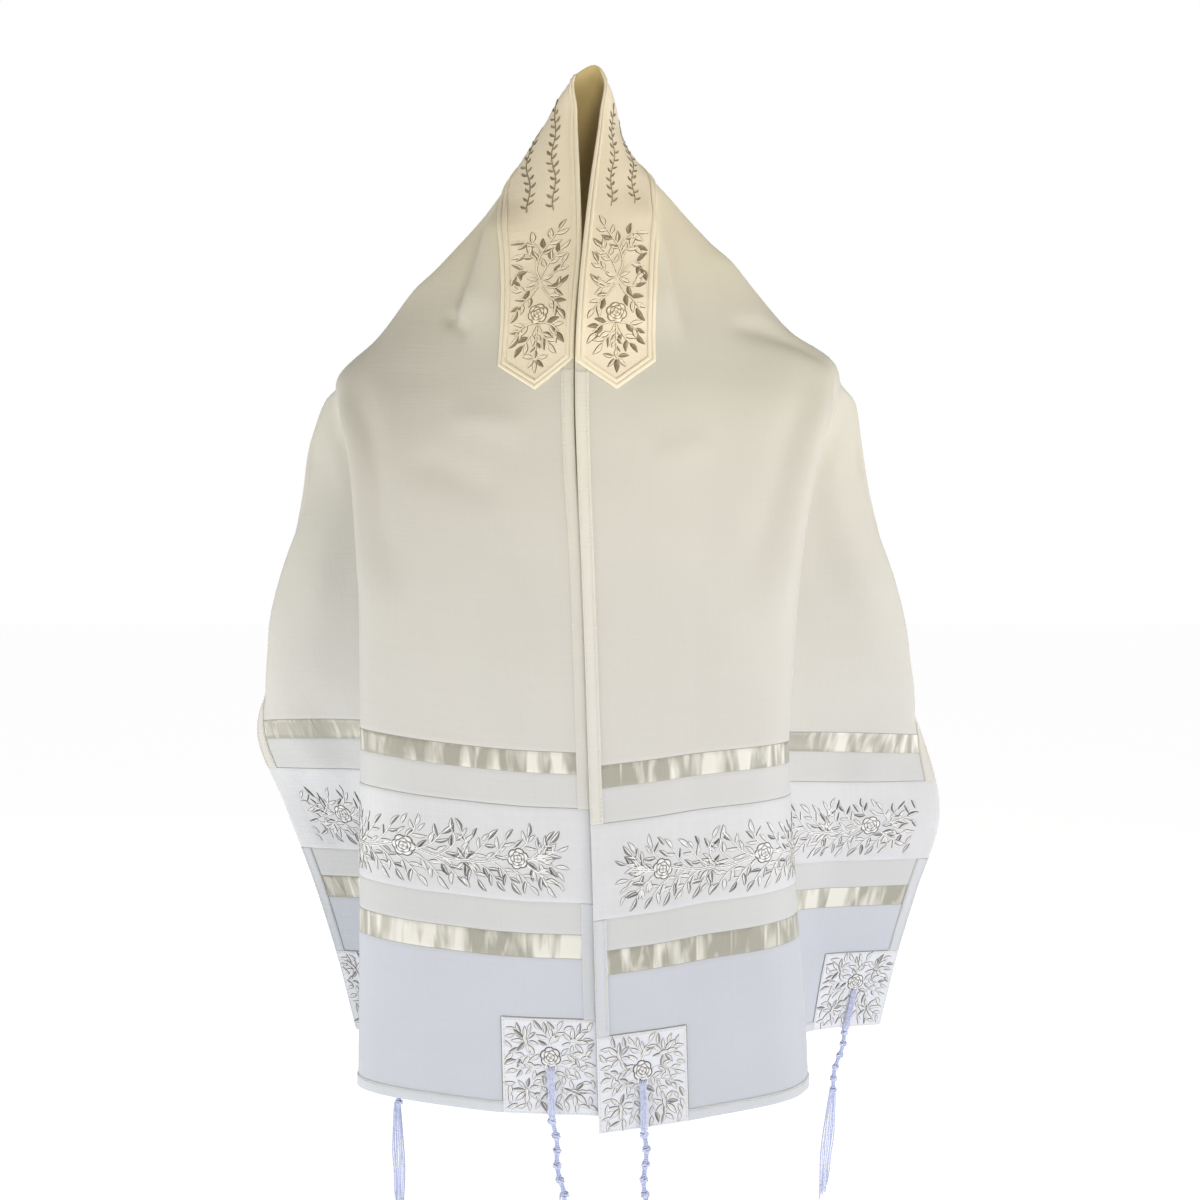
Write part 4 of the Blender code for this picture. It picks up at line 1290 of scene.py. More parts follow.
        part = np.linspace(0, 1, len(PETAL_RISE))[None, :]
        for number, (outer, inner, petals, lift) in enumerate(ROSE_RINGS):
            for petal in range(petals):
                start = math.radians(turn + 360 * petal / petals + 23 * number)
                angles = start + np.linspace(0.02, 0.98, 8)[:, None] * math.tau / petals
                bulge = swell(8)
                low = inner * radius * (0.92 + 0.06 * bulge)
                high = outer * radius * (0.84 + 0.16 * bulge ** 0.6)
                far = low + (high - low) * part
                rise = lift + PETAL_RISE[None, :] * (0.35 + 0.65 * bulge)
                # Each petal is painted lighter where it swells, as painted highlight, and darker at its foot, as
                # painted shade.
                shade = 0.62 + 0.36 * bulge * PETAL_PAINTED_LIGHT[None, :]
                self.patch(x + far * np.cos(angles), y + far * np.sin(angles), rise,
                           angles * radius * 0.6 + 0 * far, shade.ravel())
                # Each petal has a thin dark outline.
                edge = np.linspace(0.0, 1.0, 7)[:, None] * math.tau / petals + start
                out = outer * radius * (0.84 + 0.16 * swell(7) ** 0.6) + 0.25
                rim = np.concatenate([x + out * np.cos(edge), y + out * np.sin(edge)], 1)
                raised = lift + 0.05
                self.thread(rim, 1.05, 0.0, (raised - 0.25, raised + 0.32), np.arange(7) * 1.2)

    def running(self, side: int, start: Pair, end: Pair, shade: float = 0.5) -> None:
        """A straight line of running stitches between two flat places.

        Args:
            side: Which half of the cloth.
            start: Its first along, without sign, and across.
            end: Its last along and across.
            shade: The thread's shade.
        """
        stitch, gap, width = 2.6, 1.1, 0.55
        start, end = np.array(start, float), np.array(end, float)
        length = np.linalg.norm(end - start)
        way = (end - start) / length
        aside = np.array([-way[1], way[0]]) * side
        count = max(1, int(length / (stitch + gap)))
        pitch = length / count
        t = np.array([0.0, 0.2, 0.5, 0.8, 1.0])[:, None] * (pitch - gap)
        v = np.array([-0.5, 0.0, 0.5])[None, :] * width
        rise = np.array([-0.1, 0.16, 0.22, 0.16, -0.1])[:, None] + np.array([-0.1, 0.06, -0.1])[None, :]
        base = start[:, None, None] + way[:, None, None] * t[None] + aside[:, None, None] * v[None]
        steps = np.arange(count)[:, None] * pitch
        s = side * (base[0].ravel()[None, :] + steps * way[0])
        u = base[1].ravel()[None, :] + steps * way[1]
        height = np.broadcast_to(self.base + rise.ravel(), s.shape)
        points = self.drape.at(s.ravel(), u.ravel(), height.ravel())
        flat = np.stack([np.broadcast_to((t + 0 * v).ravel(), s.shape).ravel(), u.ravel()], 1)
        every = [tuple(corner + rise.size * k for corner in face)
                 for k in range(count) for face in grid_faces(*rise.shape)]
        self.mesh.add(points, every, flat, shade)


BAND_ROSES = 5
BAND_PITCH = 92.0
BAND_ROSE = 8.8
# How far below the band's upper seam its roses lie.
BAND_MIDDLE = 46.0
# One repeat of the band's vine, with x towards the collar edge, from one star
# to the next with the rose between them at its middle.
STAR_PLACE = (46.0, -6.0)
VINE_IN = ((-46.0, -6.0), (-34, -6.5), (-20, -3), (-8, 1))
VINE_OUT = ((8.0, 0.0), (20, -4), (34, -7), (46, -6))
VINE_END = ((8.0, 0.0), (18, 1), (30, 3))
BAND_SPRAYS = (
    Spray(((-43, -4), (-35, 4), (-26, 14)), 4),
    Spray(((-26, -3), (-18, 4), (-10, 16)), 4),
    Spray(((3, 9), (8, 14), (9, 19)), 3),
    Spray(((10, -1), (19, 4), (28, 15)), 5),
    Spray(((24, -5), (33, 2), (38, 10), (37, 17)), 4),
    Spray(((39, -5), (45, 3), (46, 12), (43, 19)), 3),
    Spray(((-43, -9), (-40, -15), (-36, -21)), 3),
    Spray(((-36, -7), (-27, -12), (-19, -21)), 5),
    Spray(((-22, -5), (-13, -11), (-6, -21)), 5),
    Spray(((-6, -9), (2, -14), (10, -23)), 4),
    Spray(((8, -6), (17, -11), (25, -22)), 5),
    Spray(((23, -7), (31, -12), (39, -21)), 4),
)
BAND_END_SPRAYS = (
    Spray(((12, 1), (19, 8), (25, 16)), 4),
    Spray(((14, 1), (24, 4), (34, 8)), 5),
    Spray(((14, 0), (23, -4), (32, -6)), 4),
    Spray(((8, -5), (16, -11), (25, -16)), 4),
)
BAND_STAR = ((35, 11), (80, 11), (125, 10), (170, 9), (225, 10), (270, 12), (315, 12))
# A corner square's clusters: where each is, and the turn of its longest leaf.
SQUARE_STARS = ((-21.0, 22.5, 135), (20.0, 22.0, 45), (-21.0, -20.5, 225), (20.0, -21.5, 315))
SQUARE_STAR = ((0, 13), (44, 11), (92, 10), (150, 9), (210, 9), (268, 10), (316, 11))
SQUARE_SPRAYS = (
    Spray(((-9, 8), (-16, 10), (-23, 8), (-30, 5)), 5, 9.5, 0.9),
    Spray(((-8, 1), (-15, -1), (-22, -2), (-29, -4)), 5, 9.0, 0.9),
    Spray(((9, 9), (16, 11), (23, 8), (30, 5)), 5, 9.5, 0.9),
    Spray(((8, 1), (15, -1), (22, -2), (29, -4)), 5, 9.0, 0.9),
    Spray(((0, 17), (-1, 23), (-7, 32)), 4, 10.0, 0.9),
    Spray(((0, 17), (1, 23), (7, 32)), 4, 10.0, 0.9),
    Spray(((-5, -6), (-9, -14), (-9, -22), (-11, -29)), 4, 9.0, 0.9),
    Spray(((5, -6), (9, -14), (9, -22), (11, -29)), 4, 9.0, 0.9),
)
# How far along the cloth the collar band's rose lies.
COLLAR_ROSE = 291.0
# The collar band's vine, with the rose at 0, 0 and x away from the edge.
COLLAR_SPRAYS = (
    Spray(((0, 37), (4, 50), (0, 68), (-9, 82), (-17, 94)), 7, 13.0, 1.9, 0.42),
    Spray(((1, 64), (4, 77), (11, 84), (18, 84)), 4, 13.0, 1.7, 0.50),
    Spray(((3, 54), (7, 66), (14, 71), (20, 69)), 4, 12.5, 1.7, 0.46),
    Spray(((4, 42), (13, 50), (20, 51), (24, 44)), 4, 12.0, 1.7, 0.44),
    Spray(((-1, 41), (-6, 53), (-13, 63), (-20, 70)), 6, 12.5, 1.7, 0.32),
    Spray(((-2, 38), (-10, 42), (-17, 46), (-21, 53)), 3, 12.0, 1.6, 0.50),
    Spray(((-2, 34), (-9, 27), (-17, 26), (-22, 30)), 4, 12.0, 1.7, 0.45),
    Spray(((2, 34), (9, 27), (17, 26), (22, 31)), 4, 12.0, 1.7, 0.45),
    Spray(((2, 29), (8, 19), (16, 12), (22, 4)), 5, 12.0, 1.7, 0.40),
    Spray(((-2, 29), (-9, 18), (-16, 11), (-22, 3)), 5, 12.0, 1.7, 0.40),
    Spray(((1, -9), (9, -10), (16, -13), (22, -19)), 5, 12.0, 1.7, 0.36),
    Spray(((-1, -9), (-9, -10), (-16, -13), (-22, -19)), 5, 12.0, 1.7, 0.36),
    Spray(((1, -11), (6, -20), (13, -28)), 4, 11.0, 1.6, 0.42),
    Spray(((-1, -11), (-6, -20), (-13, -28)), 4, 11.0, 1.6, 0.42),
    Spray(((0, -10), (0, -20), (0, -33)), 7, 7.0, 1.5, 0.15),
)
COLLAR_STAR = ((22, 11), (158, 11), (208, 12), (332, 12))
TIP_STAR = ((8, 11), (172, 11), (226, 10), (270, 12), (314, 10))


@dataclass
class Needlework:
    """All the embroidery: the bands, the corner squares and the collar band."""

    drape: Drape
    seed: int = 5
    square_base: float = 1.66
    band_base: float = 0.86
    collar_base: float = 1.62
    vine_width: float = 1.5

    def build(self) -> None:
        """Make every embroidered piece."""
        for side in Side:
            self._band(side)
            for corner in Corner:
                self._square(side, corner)
        self._collar()

    def _band(self, side: Side) -> None:
        """The leafy vine with its roses along an embroidered band.

        Args:
            side: Which end of the cloth.
        """
        needle = Needle(self.drape, self.band_base, rng=np.random.default_rng(self.seed + side.value))
        for number in range(BAND_ROSES):
            across = CLOTH_WIDTH / 2 + BAND_PITCH * (number - BAND_ROSES // 2)
            needle.ground = Ground(side.value, BAND + BAND_MIDDLE, across, mirrored=side is Side.RIGHT)
            self._vine_repeat(needle, at_collar=number == 0, at_far_edge=number == BAND_ROSES - 1)
        finish_piece(needle.mesh.to_object(f"band_embroidery_{side.word}", SILVER_THREAD.material()), "silk")

    def _vine_repeat(self, needle: Needle, at_collar: bool, at_far_edge: bool) -> None:
        """One repeat of the band, closed by a fan of leaves where the vine ends.

        Args:
            needle: What sews it.
            at_collar: Whether the vine ends here, beside the collar edge.
            at_far_edge: Whether it ends here, beside the far edge.
        """
        ways = ([] if at_far_edge else [VINE_IN]) + [VINE_END if at_collar else VINE_OUT]
        for offset in (-0.8, 0.8):
            for way in ways:
                needle.stem([(x, y + offset) for x, y in way], self.vine_width, 1.0)
        limit_far = -38.0 if at_far_edge else -60.0
        limit_collar = 30.0 if at_collar else 60.0
        sprays = [spray for spray in BAND_SPRAYS
                  if spray.ends[0][0] > limit_far and spray.ends[-1][0] < limit_collar]
        if at_collar:
            sprays += BAND_END_SPRAYS
        if at_far_edge:
            sprays += [Spray(tuple((-x, y) for x, y in spray.ends), spray.leaves)
                       for spray in BAND_END_SPRAYS]
        for spray in sprays:
            needle.spray(spray)
        if not at_collar:
            needle.star(*STAR_PLACE, BAND_STAR)
        needle.rose(0, 0, BAND_ROSE, needle.rng.uniform(0, 60))

        def lean(x: float, y: float) -> float | None:
            """Leaves lean towards the collar edge, out of the vine's middle.

            Args:
                x: Towards the collar edge.
                y: Up.

            Returns:
                A leaf's direction in degrees, or None beside the vine and the rose.
            """
            level = -3.0 - 3.0 * math.cos(math.tau * (x - STAR_PLACE[0]) / BAND_PITCH)
            top = 21.0 + 4.0 * math.sin(x / 7.0 + 1.0) + level * 0.4
            bottom = -25.0 + 3.0 * math.sin(x / 6.0)
            if math.hypot(x, y) < BAND_ROSE + 3.5 or not bottom < y < top or abs(y - level) < 3.2:
                return None
            steep = 38.0 + 20.0 * abs(y - level) / 22.0
            return steep if y > level else -steep

        box = (-40.0 if at_far_edge else -BAND_PITCH / 2, 38.0 if at_collar else BAND_PITCH / 2, -26, 25)
        needle.fill(box, lean, size=11.0, spacing=6.6)

    def _square(self, side: Side, corner: Corner) -> None:
        """A corner square's leaf clusters and sprays round the rose over its eyelet.

        Args:
            side: Which end of the cloth.
            corner: Which of its corners.
        """
        rng = np.random.default_rng(self.seed * 7 + side.value + (3 if corner is Corner.WING else 0))
        ground = Ground(side.value, SQUARE_MIDDLE, corner.value)
        needle = Needle(self.drape, self.square_base, SQUARE_LEAVES, ground, rng=rng)
        for x, y, turn in SQUARE_STARS:
            needle.star(x, y, [(angle + turn, length) for angle, length in SQUARE_STAR])
        for spray in SQUARE_SPRAYS:
            needle.spray(spray)
        rose_y = 8.5
        needle.rose(0, rose_y, radius=8.6, turn=10)

        def outwards(x: float, y: float) -> float | None:
            """Leaves point out from the rose, to one side and the other.

            Args:
                x: To the right.
                y: Up.

            Returns:
                A leaf's direction in degrees, or None on the rose, the eyelet or the edge.
            """
            at_rose = math.hypot(x, y - rose_y) < 13.0
            if at_rose or (abs(x) < 6.0 and y < 9.0) or max(abs(x), abs(y)) > 36.5:
                return None
            aside = math.copysign(32.0, math.sin(0.55 * x - 0.35 * y))
            return math.degrees(math.atan2(y - rose_y, x)) + aside

        needle.fill((-37, 37, -37, 37), outwards, size=10.0, spacing=5.6)
        name = f"square_embroidery_{corner.word}_{side.word}"
        finish_piece(needle.mesh.to_object(name, SILVER_THREAD.material()), "silk")

    def _collar(self) -> None:
        """Both ends of the collar band, with plain leaf vines up to the peak."""
        needle = Needle(self.drape, self.collar_base, reach=27.5)
        for side in Side:
            needle.rng = np.random.default_rng(self.seed * 3 + side.value)
            needle.ground = Ground(side.value, COLLAR_ROSE, ATARAH_WIDTH / 2, mirrored=side is Side.LEFT)
            needle.palette = TAUPE_LEAVES
            for spray in COLLAR_SPRAYS:
                needle.spray(spray)
            needle.palette = LIGHT_TAUPE_LEAVES
            needle.star(0, 36, COLLAR_STAR)
            needle.palette = TAUPE_LEAVES
            needle.star(0, -40, TIP_STAR)
            needle.rose(0, 0, radius=9.5, turn=15)
            needle.palette = DARK_TAUPE_LEAVES
            for x, start in ((-13.0, 118), (11.0, 122)):
                ends = tuple((x + 1.8 * math.sin(y / 9.0), y) for y in range(start, 250, 9))
                needle.spray(Spray(ends, leaves=24, size=8.0, width=1.1, first=0.04))
        finish_piece(needle.mesh.to_object("collar_embroidery", COLLAR_THREAD.material()), "collar_silk")


# ---------------------------------------------------------------- collar band
@dataclass
class Collar:
    """The atarah: a silk band with two pointed ends in a stitched binding."""

    drape: Drape
    low: float = 0.55
    high: float = 1.5
    binding_high: float = 2.5
    roll_depth: float = 1.1
    step: float = 4.6
    stitch_inset: float = 1.4

    def build(self) -> None:
        """Make the band, its binding and the binding's stitches."""
        band = finish_piece(self._field(), "collar_silk", ["atarah"])
        border = finish_piece(self._binding(), "collar_silk", ["atarah_border"])
        stitches = finish_piece(self._stitches(), "collar_silk")

    @staticmethod
    def _end(across: Array | float, inset: float = 0.0) -> Array:
        """How far along the band's pointed end lies, or a line set in from it.

        Args:
            across: Places across the band.
            inset: How far the line lies inside the band's rim.

        Returns:
            A place along for each place across.
        """
        slope = ATARAH_POINT / (ATARAH_WIDTH / 2)
        rise = ATARAH_WIDTH / 2 - np.abs(across - ATARAH_WIDTH / 2)
        return ATARAH_HALF + slope * rise - inset * math.hypot(1, slope)

    def _field(self) -> Object:
        """The silk band from point to point.

        Returns:
            The band.
        """
        near = [0, 0.2, 0.6, ATARAH_BORDER]
        far = [ATARAH_WIDTH - place for place in near]
        across = lines_between([*near, ATARAH_WIDTH / 2, *far], self.step)
        end = self._end(across)[None, :]
        s = np.linspace(-1, 1, int(2 * ATARAH_HALF / self.step))[:, None] * end
        u = np.broadcast_to(across[None, :], s.shape)
        edge = np.minimum(np.minimum(u, ATARAH_WIDTH - u), end - np.abs(s))
        high = self.high - rounded(edge / 0.5, self.high - self.low)
        mesh = Mesh()
        mesh.add_shell(self.drape.at(s, u, high), self.drape.at(s, u, self.low + 0 * s), grid_faces(*s.shape),
                       np.stack([s.ravel(), u.ravel()], 1), inner_shade=0.5)
        return mesh.to_object("atarah_silk", COLLAR_SILK.material())

    def _outline(self, inset: float) -> Array:
        """A line round the band at even steps.

        Args:
            inset: How far it lies inside the band's rim.

        Returns:
            Its flat places, along and across.
        """
        near, middle, far = inset, ATARAH_WIDTH / 2, ATARAH_WIDTH - inset
        turn, tip = self._end(near, inset), self._end(middle, inset)
        keys = [(-turn, near), (turn, near), (tip, middle), (turn, far), (-turn, far), (-tip, middle)]
        line = []
        for start, end, count in zip(keys, keys[1:] + keys[:1], [150, 10, 10] * 2):
            part = np.linspace(0, 1, count, endpoint=False)[:, None]
            line.append(np.array(start) * (1 - part) + np.array(end) * part)
        return np.vstack(line)

    def _binding(self) -> Object:
        """The binding that frames the band, folded into two rolls.

        Returns:
            The binding.
        """
        roll = ATARAH_BORDER / 2
        insets = np.concatenate([np.linspace(0.0, roll, 8), np.linspace(roll, ATARAH_BORDER, 8)[1:]])
        rings = np.stack([self._outline(inset) for inset in insets], 1)
        s, u = rings[..., 0], rings[..., 1]
        part = (insets[None, :] + 0 * s) % roll / roll
        part[:, -1] = 1.0
        bulge = np.sqrt(np.clip(1 - (2 * part - 1) ** 2, 0, 1))
        top = self.drape.at(s, u, self.binding_high - 0.75 + self.roll_depth * bulge)
        rows, columns = s.shape
        last = (rows - 1) * columns
        faces = grid_faces(rows, columns) + [(last + c, c, c + 1, last + c + 1) for c in range(columns - 1)]
        mesh = Mesh()
        mesh.add_shell(top, self.drape.at(s, u, self.high + 0 * s), faces,
                       np.stack([s.ravel(), u.ravel()], 1), inner_shade=0.5)
        return mesh.to_object("atarah_binding", COLLAR_BINDING.material())

    def _stitches(self) -> Object:
        """Two lines of running stitch round the binding.

        Returns:
            The stitches.
        """
        needle = Needle(self.drape, self.binding_high)
        middle = ATARAH_WIDTH / 2
        for inset in (self.stitch_inset, ATARAH_BORDER - self.stitch_inset):
            turn, tip = self._end(inset, inset), self._end(middle, inset)
            for side in Side:
                for place in (inset, ATARAH_WIDTH - inset):
                    needle.running(side.value, (0.0, place), (turn, place), shade=0.35)
                    needle.running(side.value, (turn, place), (tip, middle), shade=0.35)
        return needle.mesh.to_object("atarah_stitches", HEM_THREAD.material())


@dataclass
class Squares:
    """The four silk corner squares with their stitched eyelets."""

    drape: Drape
    low: float = 0.55
    high: float = 1.6
    rim: float = 0.7
    stitch_radius: float = 0.9

    def build(self) -> None:
        """Make every square and its eyelet."""
        for side in Side:
            for corner in Corner:
                near = corner.value - SQUARE_SIDE / 2
                along = (side.value * SQUARE_TOP, side.value * HALF_LENGTH)
                node = f"corner_square_{corner.word}_{side.word}"
                mesh = Cut(along, (near, near + SQUARE_SIDE), self.low, self.high, rim=self.rim,
                           holes=[eyelet_hole(corner.value)]).build(self.drape)
                piece = finish_piece(mesh.to_object(f"{node}_silk", SQUARE_SILK.material()), "silk", [node])
                eyelet = self._eyelet(side, corner)

    def _eyelet(self, side: Side, corner: Corner) -> Object:
        """The whipped edge of an eyelet: a square ring of close stitches.

        Args:
            side: Which end of the cloth.
            corner: Which of its corners.

        Returns:
            The ring.
        """
        turns, sides = 36, 6
        points, flat, faces = [], [], []
        for step in range(turns):
            angle = math.tau * step / turns
            blunt = max(abs(math.cos(angle)), abs(math.sin(angle)))
            reach = (EYELET_SIDE / 2) / blunt ** 0.7
            for k in range(sides):
                turn = math.tau * k / sides
                out = reach + self.stitch_radius * math.cos(turn)
                # The thread comes up over the face and goes down behind the panel.
                height = (self.high + self.stitch_radius * math.sin(turn) if math.sin(turn) > -0.1
                          else -0.7 + 0.5 * math.sin(turn))
                s = side.value * (SQUARE_MIDDLE + out * math.cos(angle))
                points.append(self.drape.point(s, corner.value + out * math.sin(angle), height))
                flat.append((reach * angle, turn))
                a, b = step * sides + k, step * sides + (k + 1) % sides
                c, d = (step + 1) % turns * sides + (k + 1) % sides, (step + 1) % turns * sides + k
                faces.append((a, b, c, d) if side.value > 0 else (a, d, c, b))
        mesh = Mesh()
        mesh.add(np.array(points), faces, np.array(flat), 0.9)
        name = f"eyelet_{corner.word}_{side.word}"
        return finish_piece(mesh.to_object(name, SILVER_THREAD.material()), "silk")


@dataclass
class Sewing:
    """Seam lines between panels, painted dark as the shadow of folded edges, and the hems' lines of stitches."""

    drape: Drape
    hem_base: float = 1.72
    panel_base: float = 0.55
    inset: float = 1.8
    seam_step: float = 4.0
    square_gap: float = 0.4
    # The width, shade and lift of the line round a corner square, painted dark as shadow at its edge.
    square_shadow_line: tuple[float, float, float] = (0.7, 0.1, 0.25)

    def build(self) -> None:
        """Make every line of sewing."""
        self._hem_stitches()
        self._seam_lines()

    def _hem_stitches(self) -> None:
        """Running stitch beside both edges of the long hem strips, beside the inner edge of the bottom ones, and
        round each corner square.
        """
        needle = Needle(self.drape, self.hem_base)
        inset = self.inset
        low = HALF_LENGTH - BOTTOM_HEM_WIDTH + inset
        top, bottom = SQUARE_TOP + inset, HALF_LENGTH - inset
        for side in Side:
            sign = side.value
            for place in (inset, HEM_WIDTH - inset):
                needle.running(sign, (COLLAR_HEM_START, place), (BAND, place))
                needle.running(sign, (0.0, CLOTH_WIDTH - place), (BAND, CLOTH_WIDTH - place))
                for across in (place, CLOTH_WIDTH - place):
                    needle.running(sign, (PLAIN_LOWER, across), (SQUARE_TOP, across))
            needle.running(sign, (low, SQUARE_SIDE), (low, CLOTH_WIDTH - SQUARE_SIDE))
            for near in (0.0, CLOTH_WIDTH - SQUARE_SIDE):
                first, last = near + inset, near + SQUARE_SIDE - inset
                corners = [(top, first), (top, last), (bottom, last), (bottom, first)]
                for start, end in zip(corners, corners[1:] + corners[:1]):
                    needle.running(sign, start, end)
        finish_piece(needle.mesh.to_object("hem_stitches", HEM_THREAD.material()), "cream_wool")

    def _seam_lines(self) -> None:
        """The dark line where one panel's folded edge lies on the next, painted as the fold's shadow."""
        needle = Needle(self.drape, self.panel_base)
        # The place along, width and shade of each seam's line.
        seams = ((SATIN_UPPER, 0.8, 0.2), (BAND, 1.1, 0.0), (PLAIN_UPPER, 0.5, 0.7),
                 (PLAIN_LOWER, 0.5, 0.9), (SATIN_LOWER, 0.6, 0.4), (END_PANEL, 0.6, 0.4))
        for side in Side:
            for along, width, shade in seams:
                self._line(needle, side, np.array([along]), self.drape.across, width, shade, 0.0)
            for near, inner in ((0.0, SQUARE_SIDE), (CLOTH_WIDTH - SQUARE_SIDE, CLOTH_WIDTH - SQUARE_SIDE)):
                across = lines_between([near, near + SQUARE_SIDE], self.seam_step)
                self._line(needle, side, np.array([SQUARE_TOP - self.square_gap]), across, *self.square_shadow_line)
                off = self.square_gap if near == 0.0 else -self.square_gap
                along = lines_between([SQUARE_TOP, HALF_LENGTH], self.seam_step)
                self._line(needle, side, along, np.array([inner + off]), *self.square_shadow_line)
        finish_piece(needle.mesh.to_object("seam_lines", SEAM_SHADOW_THREAD.material()), "silk")

    def _line(self, needle: Needle, side: Side, along: Array, across: Array, width: float,
              shade: float, lift: float) -> None:
        """A straight seam line.

        Args:
            needle: What sews it.
            side: Which half of the cloth.
            along: Its places along, or one for all.
            across: Its places across, or one for all.
            width: Its width.
            shade: Its shade.
            lift: How far it is raised.
        """
        needle.ground = Ground(side.value)
        line = np.stack(np.broadcast_arrays(across * side.value, -along), 1)
        grain = np.arange(1, len(line) + 1) * self.seam_step
        needle.thread(line, width, shade, (lift - 0.1, lift + 0.12), grain)


# -------------------------------------------------------------------- tassels
def unit(rows: Array) -> Array:
    """Directions of length 1, from a row of numbers for each."""
    return rows / np.linalg.norm(rows, axis=-1, keepdims=True)


def circle(angle: Array, first: Array, second: Array) -> Array:
    """Places at each angle on a circle of radius 1 between two square directions."""
    return np.cos(angle)[:, None] * first + np.sin(angle)[:, None] * second


@dataclass
class Tassel:
    """A knotted corner tassel of plied wool cord.

    The leans are how far its stem leans for each millimetre down, and down, out
    and wide the ways in which the cloth's end faces there.
    """

    drape: Drape
    side: Side
    corner: Corner
    lean_x: float
    lean_back: float
    stem_drop: float = 6.0
    stem_length: float = 64.0
    stem_turns: int = 34
    string_length: float = 118.0
    cord_radius: float = 0.72
    ply_pitch: float = 5.2
    ply_step: float = 0.8
    strap_width: float = 6.0
    strap_front: float = 3.8
    strap_back: float = -2.4
    knots: int = 5
    sway: float = 1.6
    sway_every: float = 9.0
    mesh: Mesh = field(default_factory=Mesh)
    down: Array = field(init=False)
    out: Array = field(init=False)
    wide: Array = field(init=False)

    def build(self) -> None:
        """Make the limbs through the eyelet, the wound stem and the free strings."""
        sign, across = self.side.value, self.corner.value
        end = self.drape.point(sign * HALF_LENGTH, across)
        self.down = unit(end - self.drape.point(sign * (HALF_LENGTH - 4), across))
        self.wide = unit(self.drape.point(sign * HALF_LENGTH, across + 2) - end)
        self.out = self.drape.point(sign * HALF_LENGTH, across, 1.0) - end
        middle = (self.strap_front + self.strap_back) / 2
        top = end + self.stem_drop * self.down + middle * self.out
        slope = unit(np.array([self.lean_x, self.lean_back, -1.0]))
        self._limbs(top)
        self._stem(top, slope)
        self._strings(top + slope * self.stem_length)
        node = f"tzitzit_{self.corner.word}_{self.side.word}"
        finish_piece(self.mesh.to_object(f"{node}_cords", CORD_WOOL.material()), "cord", [node])

    def _limbs(self, top: Array) -> None:
        """Four cords side by side, up the face, through the eyelet and down the back.

        Args:
            top: The stem's upper end.
        """
        middle = (self.strap_front + self.strap_back) / 2
        turn = (self.strap_front - self.strap_back) / 2
        run = (HALF_LENGTH + 1, HALF_LENGTH - 10, HALF_LENGTH - 20, HALF_LENGTH - 30, SQUARE_MIDDLE + 3)
        over = [(SQUARE_MIDDLE + 1.5 - 1.6 * math.sin(a), middle + turn * math.cos(a))
                for a in np.radians([40, 70, 100, 130])]
        route = ([(along, self.strap_front) for along in run] + over
                 + [(along, self.strap_back) for along in reversed(run)])
        for index in range(4):
            aside = (index - 1.5) * self.strap_width / 4
            root = top - 1.5 * self.down + 0.3 * aside * self.wide
            line = [root + 0.6 * turn * self.out]
            for along, height in route:
                bow = 1.0 + 0.12 * math.sin(along / 6.0 + index)
                end = self.side.value * min(along, HALF_LENGTH)
                base = self.drape.point(end, self.corner.value, height)
                line.append(base + max(0.0, along - HALF_LENGTH) * self.down + aside * bow * self.wide)
            line.append(root - 0.6 * turn * self.out)
            self._plied(np.array(line), 0.62 + 0.09 * (index % 2), index)

    def _stem(self, top: Array, slope: Array) -> None:
        """The winding round the core, with a thicker double knot at each fifth.

        Args:
            top: Its upper end.
            slope: Its direction.
        """
        steps = self.stem_turns * 9
        part = np.linspace(0, 1, steps)
        length = part * self.stem_length
        axis = top + slope * length[:, None]
        axis = axis + (self.sway * np.sin(length / self.sway_every))[:, None] * np.array([1.0, 0, 0])
        nearest = np.round(part * self.knots) / self.knots
        knot = np.exp(-((part - nearest) * self.stem_length / 2.6) ** 2)
        winding = circle(part * self.stem_turns * math.tau, self.wide, self.out)
        self._tube(axis + (1.5 + 1.5 * knot)[:, None] * winding, np.full(steps, 0.75), sides=6, shade=0.55)
        core = axis[::6]
        # The core is painted darker, as painted shade between the turns of the winding.
        self._tube(core, np.full(len(core), 1.4), sides=8, shade=0.3)
        for index in range(self.knots + 1):
            self._knot(axis[np.argmin(np.abs(part - index / self.knots))], slope, 0.5 * index)

    def _knot(self, centre: Array, slope: Array, turn: float) -> None:
        """A double knot: a cord that crosses itself round the stem.

        Args:
            centre: Its middle.
            slope: The stem's direction.
            turn: How far it is turned round the stem.
        """
        t = np.linspace(0, math.tau, 44)
        radius = 3.0 + 0.5 * np.cos(3 * t)
        rise = 1.3 * np.sin(3 * t)
        line = centre + radius[:, None] * circle(2 * t + turn, self.wide, self.out) + rise[:, None] * slope
        self._tube(line, np.full(len(t), 0.85), sides=6, shade=0.7)

    def _strings(self, root: Array) -> None:
        """Eight free strings, each of two plies, that part a little as they fall.

        Args:
            root: The stem's lower end.
        """
        slope = np.array([self.lean_x * 0.4, self.lean_back * 0.4, -1.0])
        part = np.linspace(0, 1, 26)[:, None]
        for index in range(8):
            row, cell = divmod(index, 4)
            aside = (cell - 1.5) * 1.5
            deep = (row - 0.5) * 2.6
            length = self.string_length * (1 - 0.03 * cell)
            spread = 0.7 + 1.5 * np.sin(part * 2.6 + cell * 0.15)
            ripple = 0.7 * np.sin(part * (9 + index) + index) * part
            off = spread * (aside * self.wide + deep * self.out)
            line = root + slope * length * part + off + ripple * self.wide
            self._plied(line, 0.5 + 0.12 * (index % 3), index)

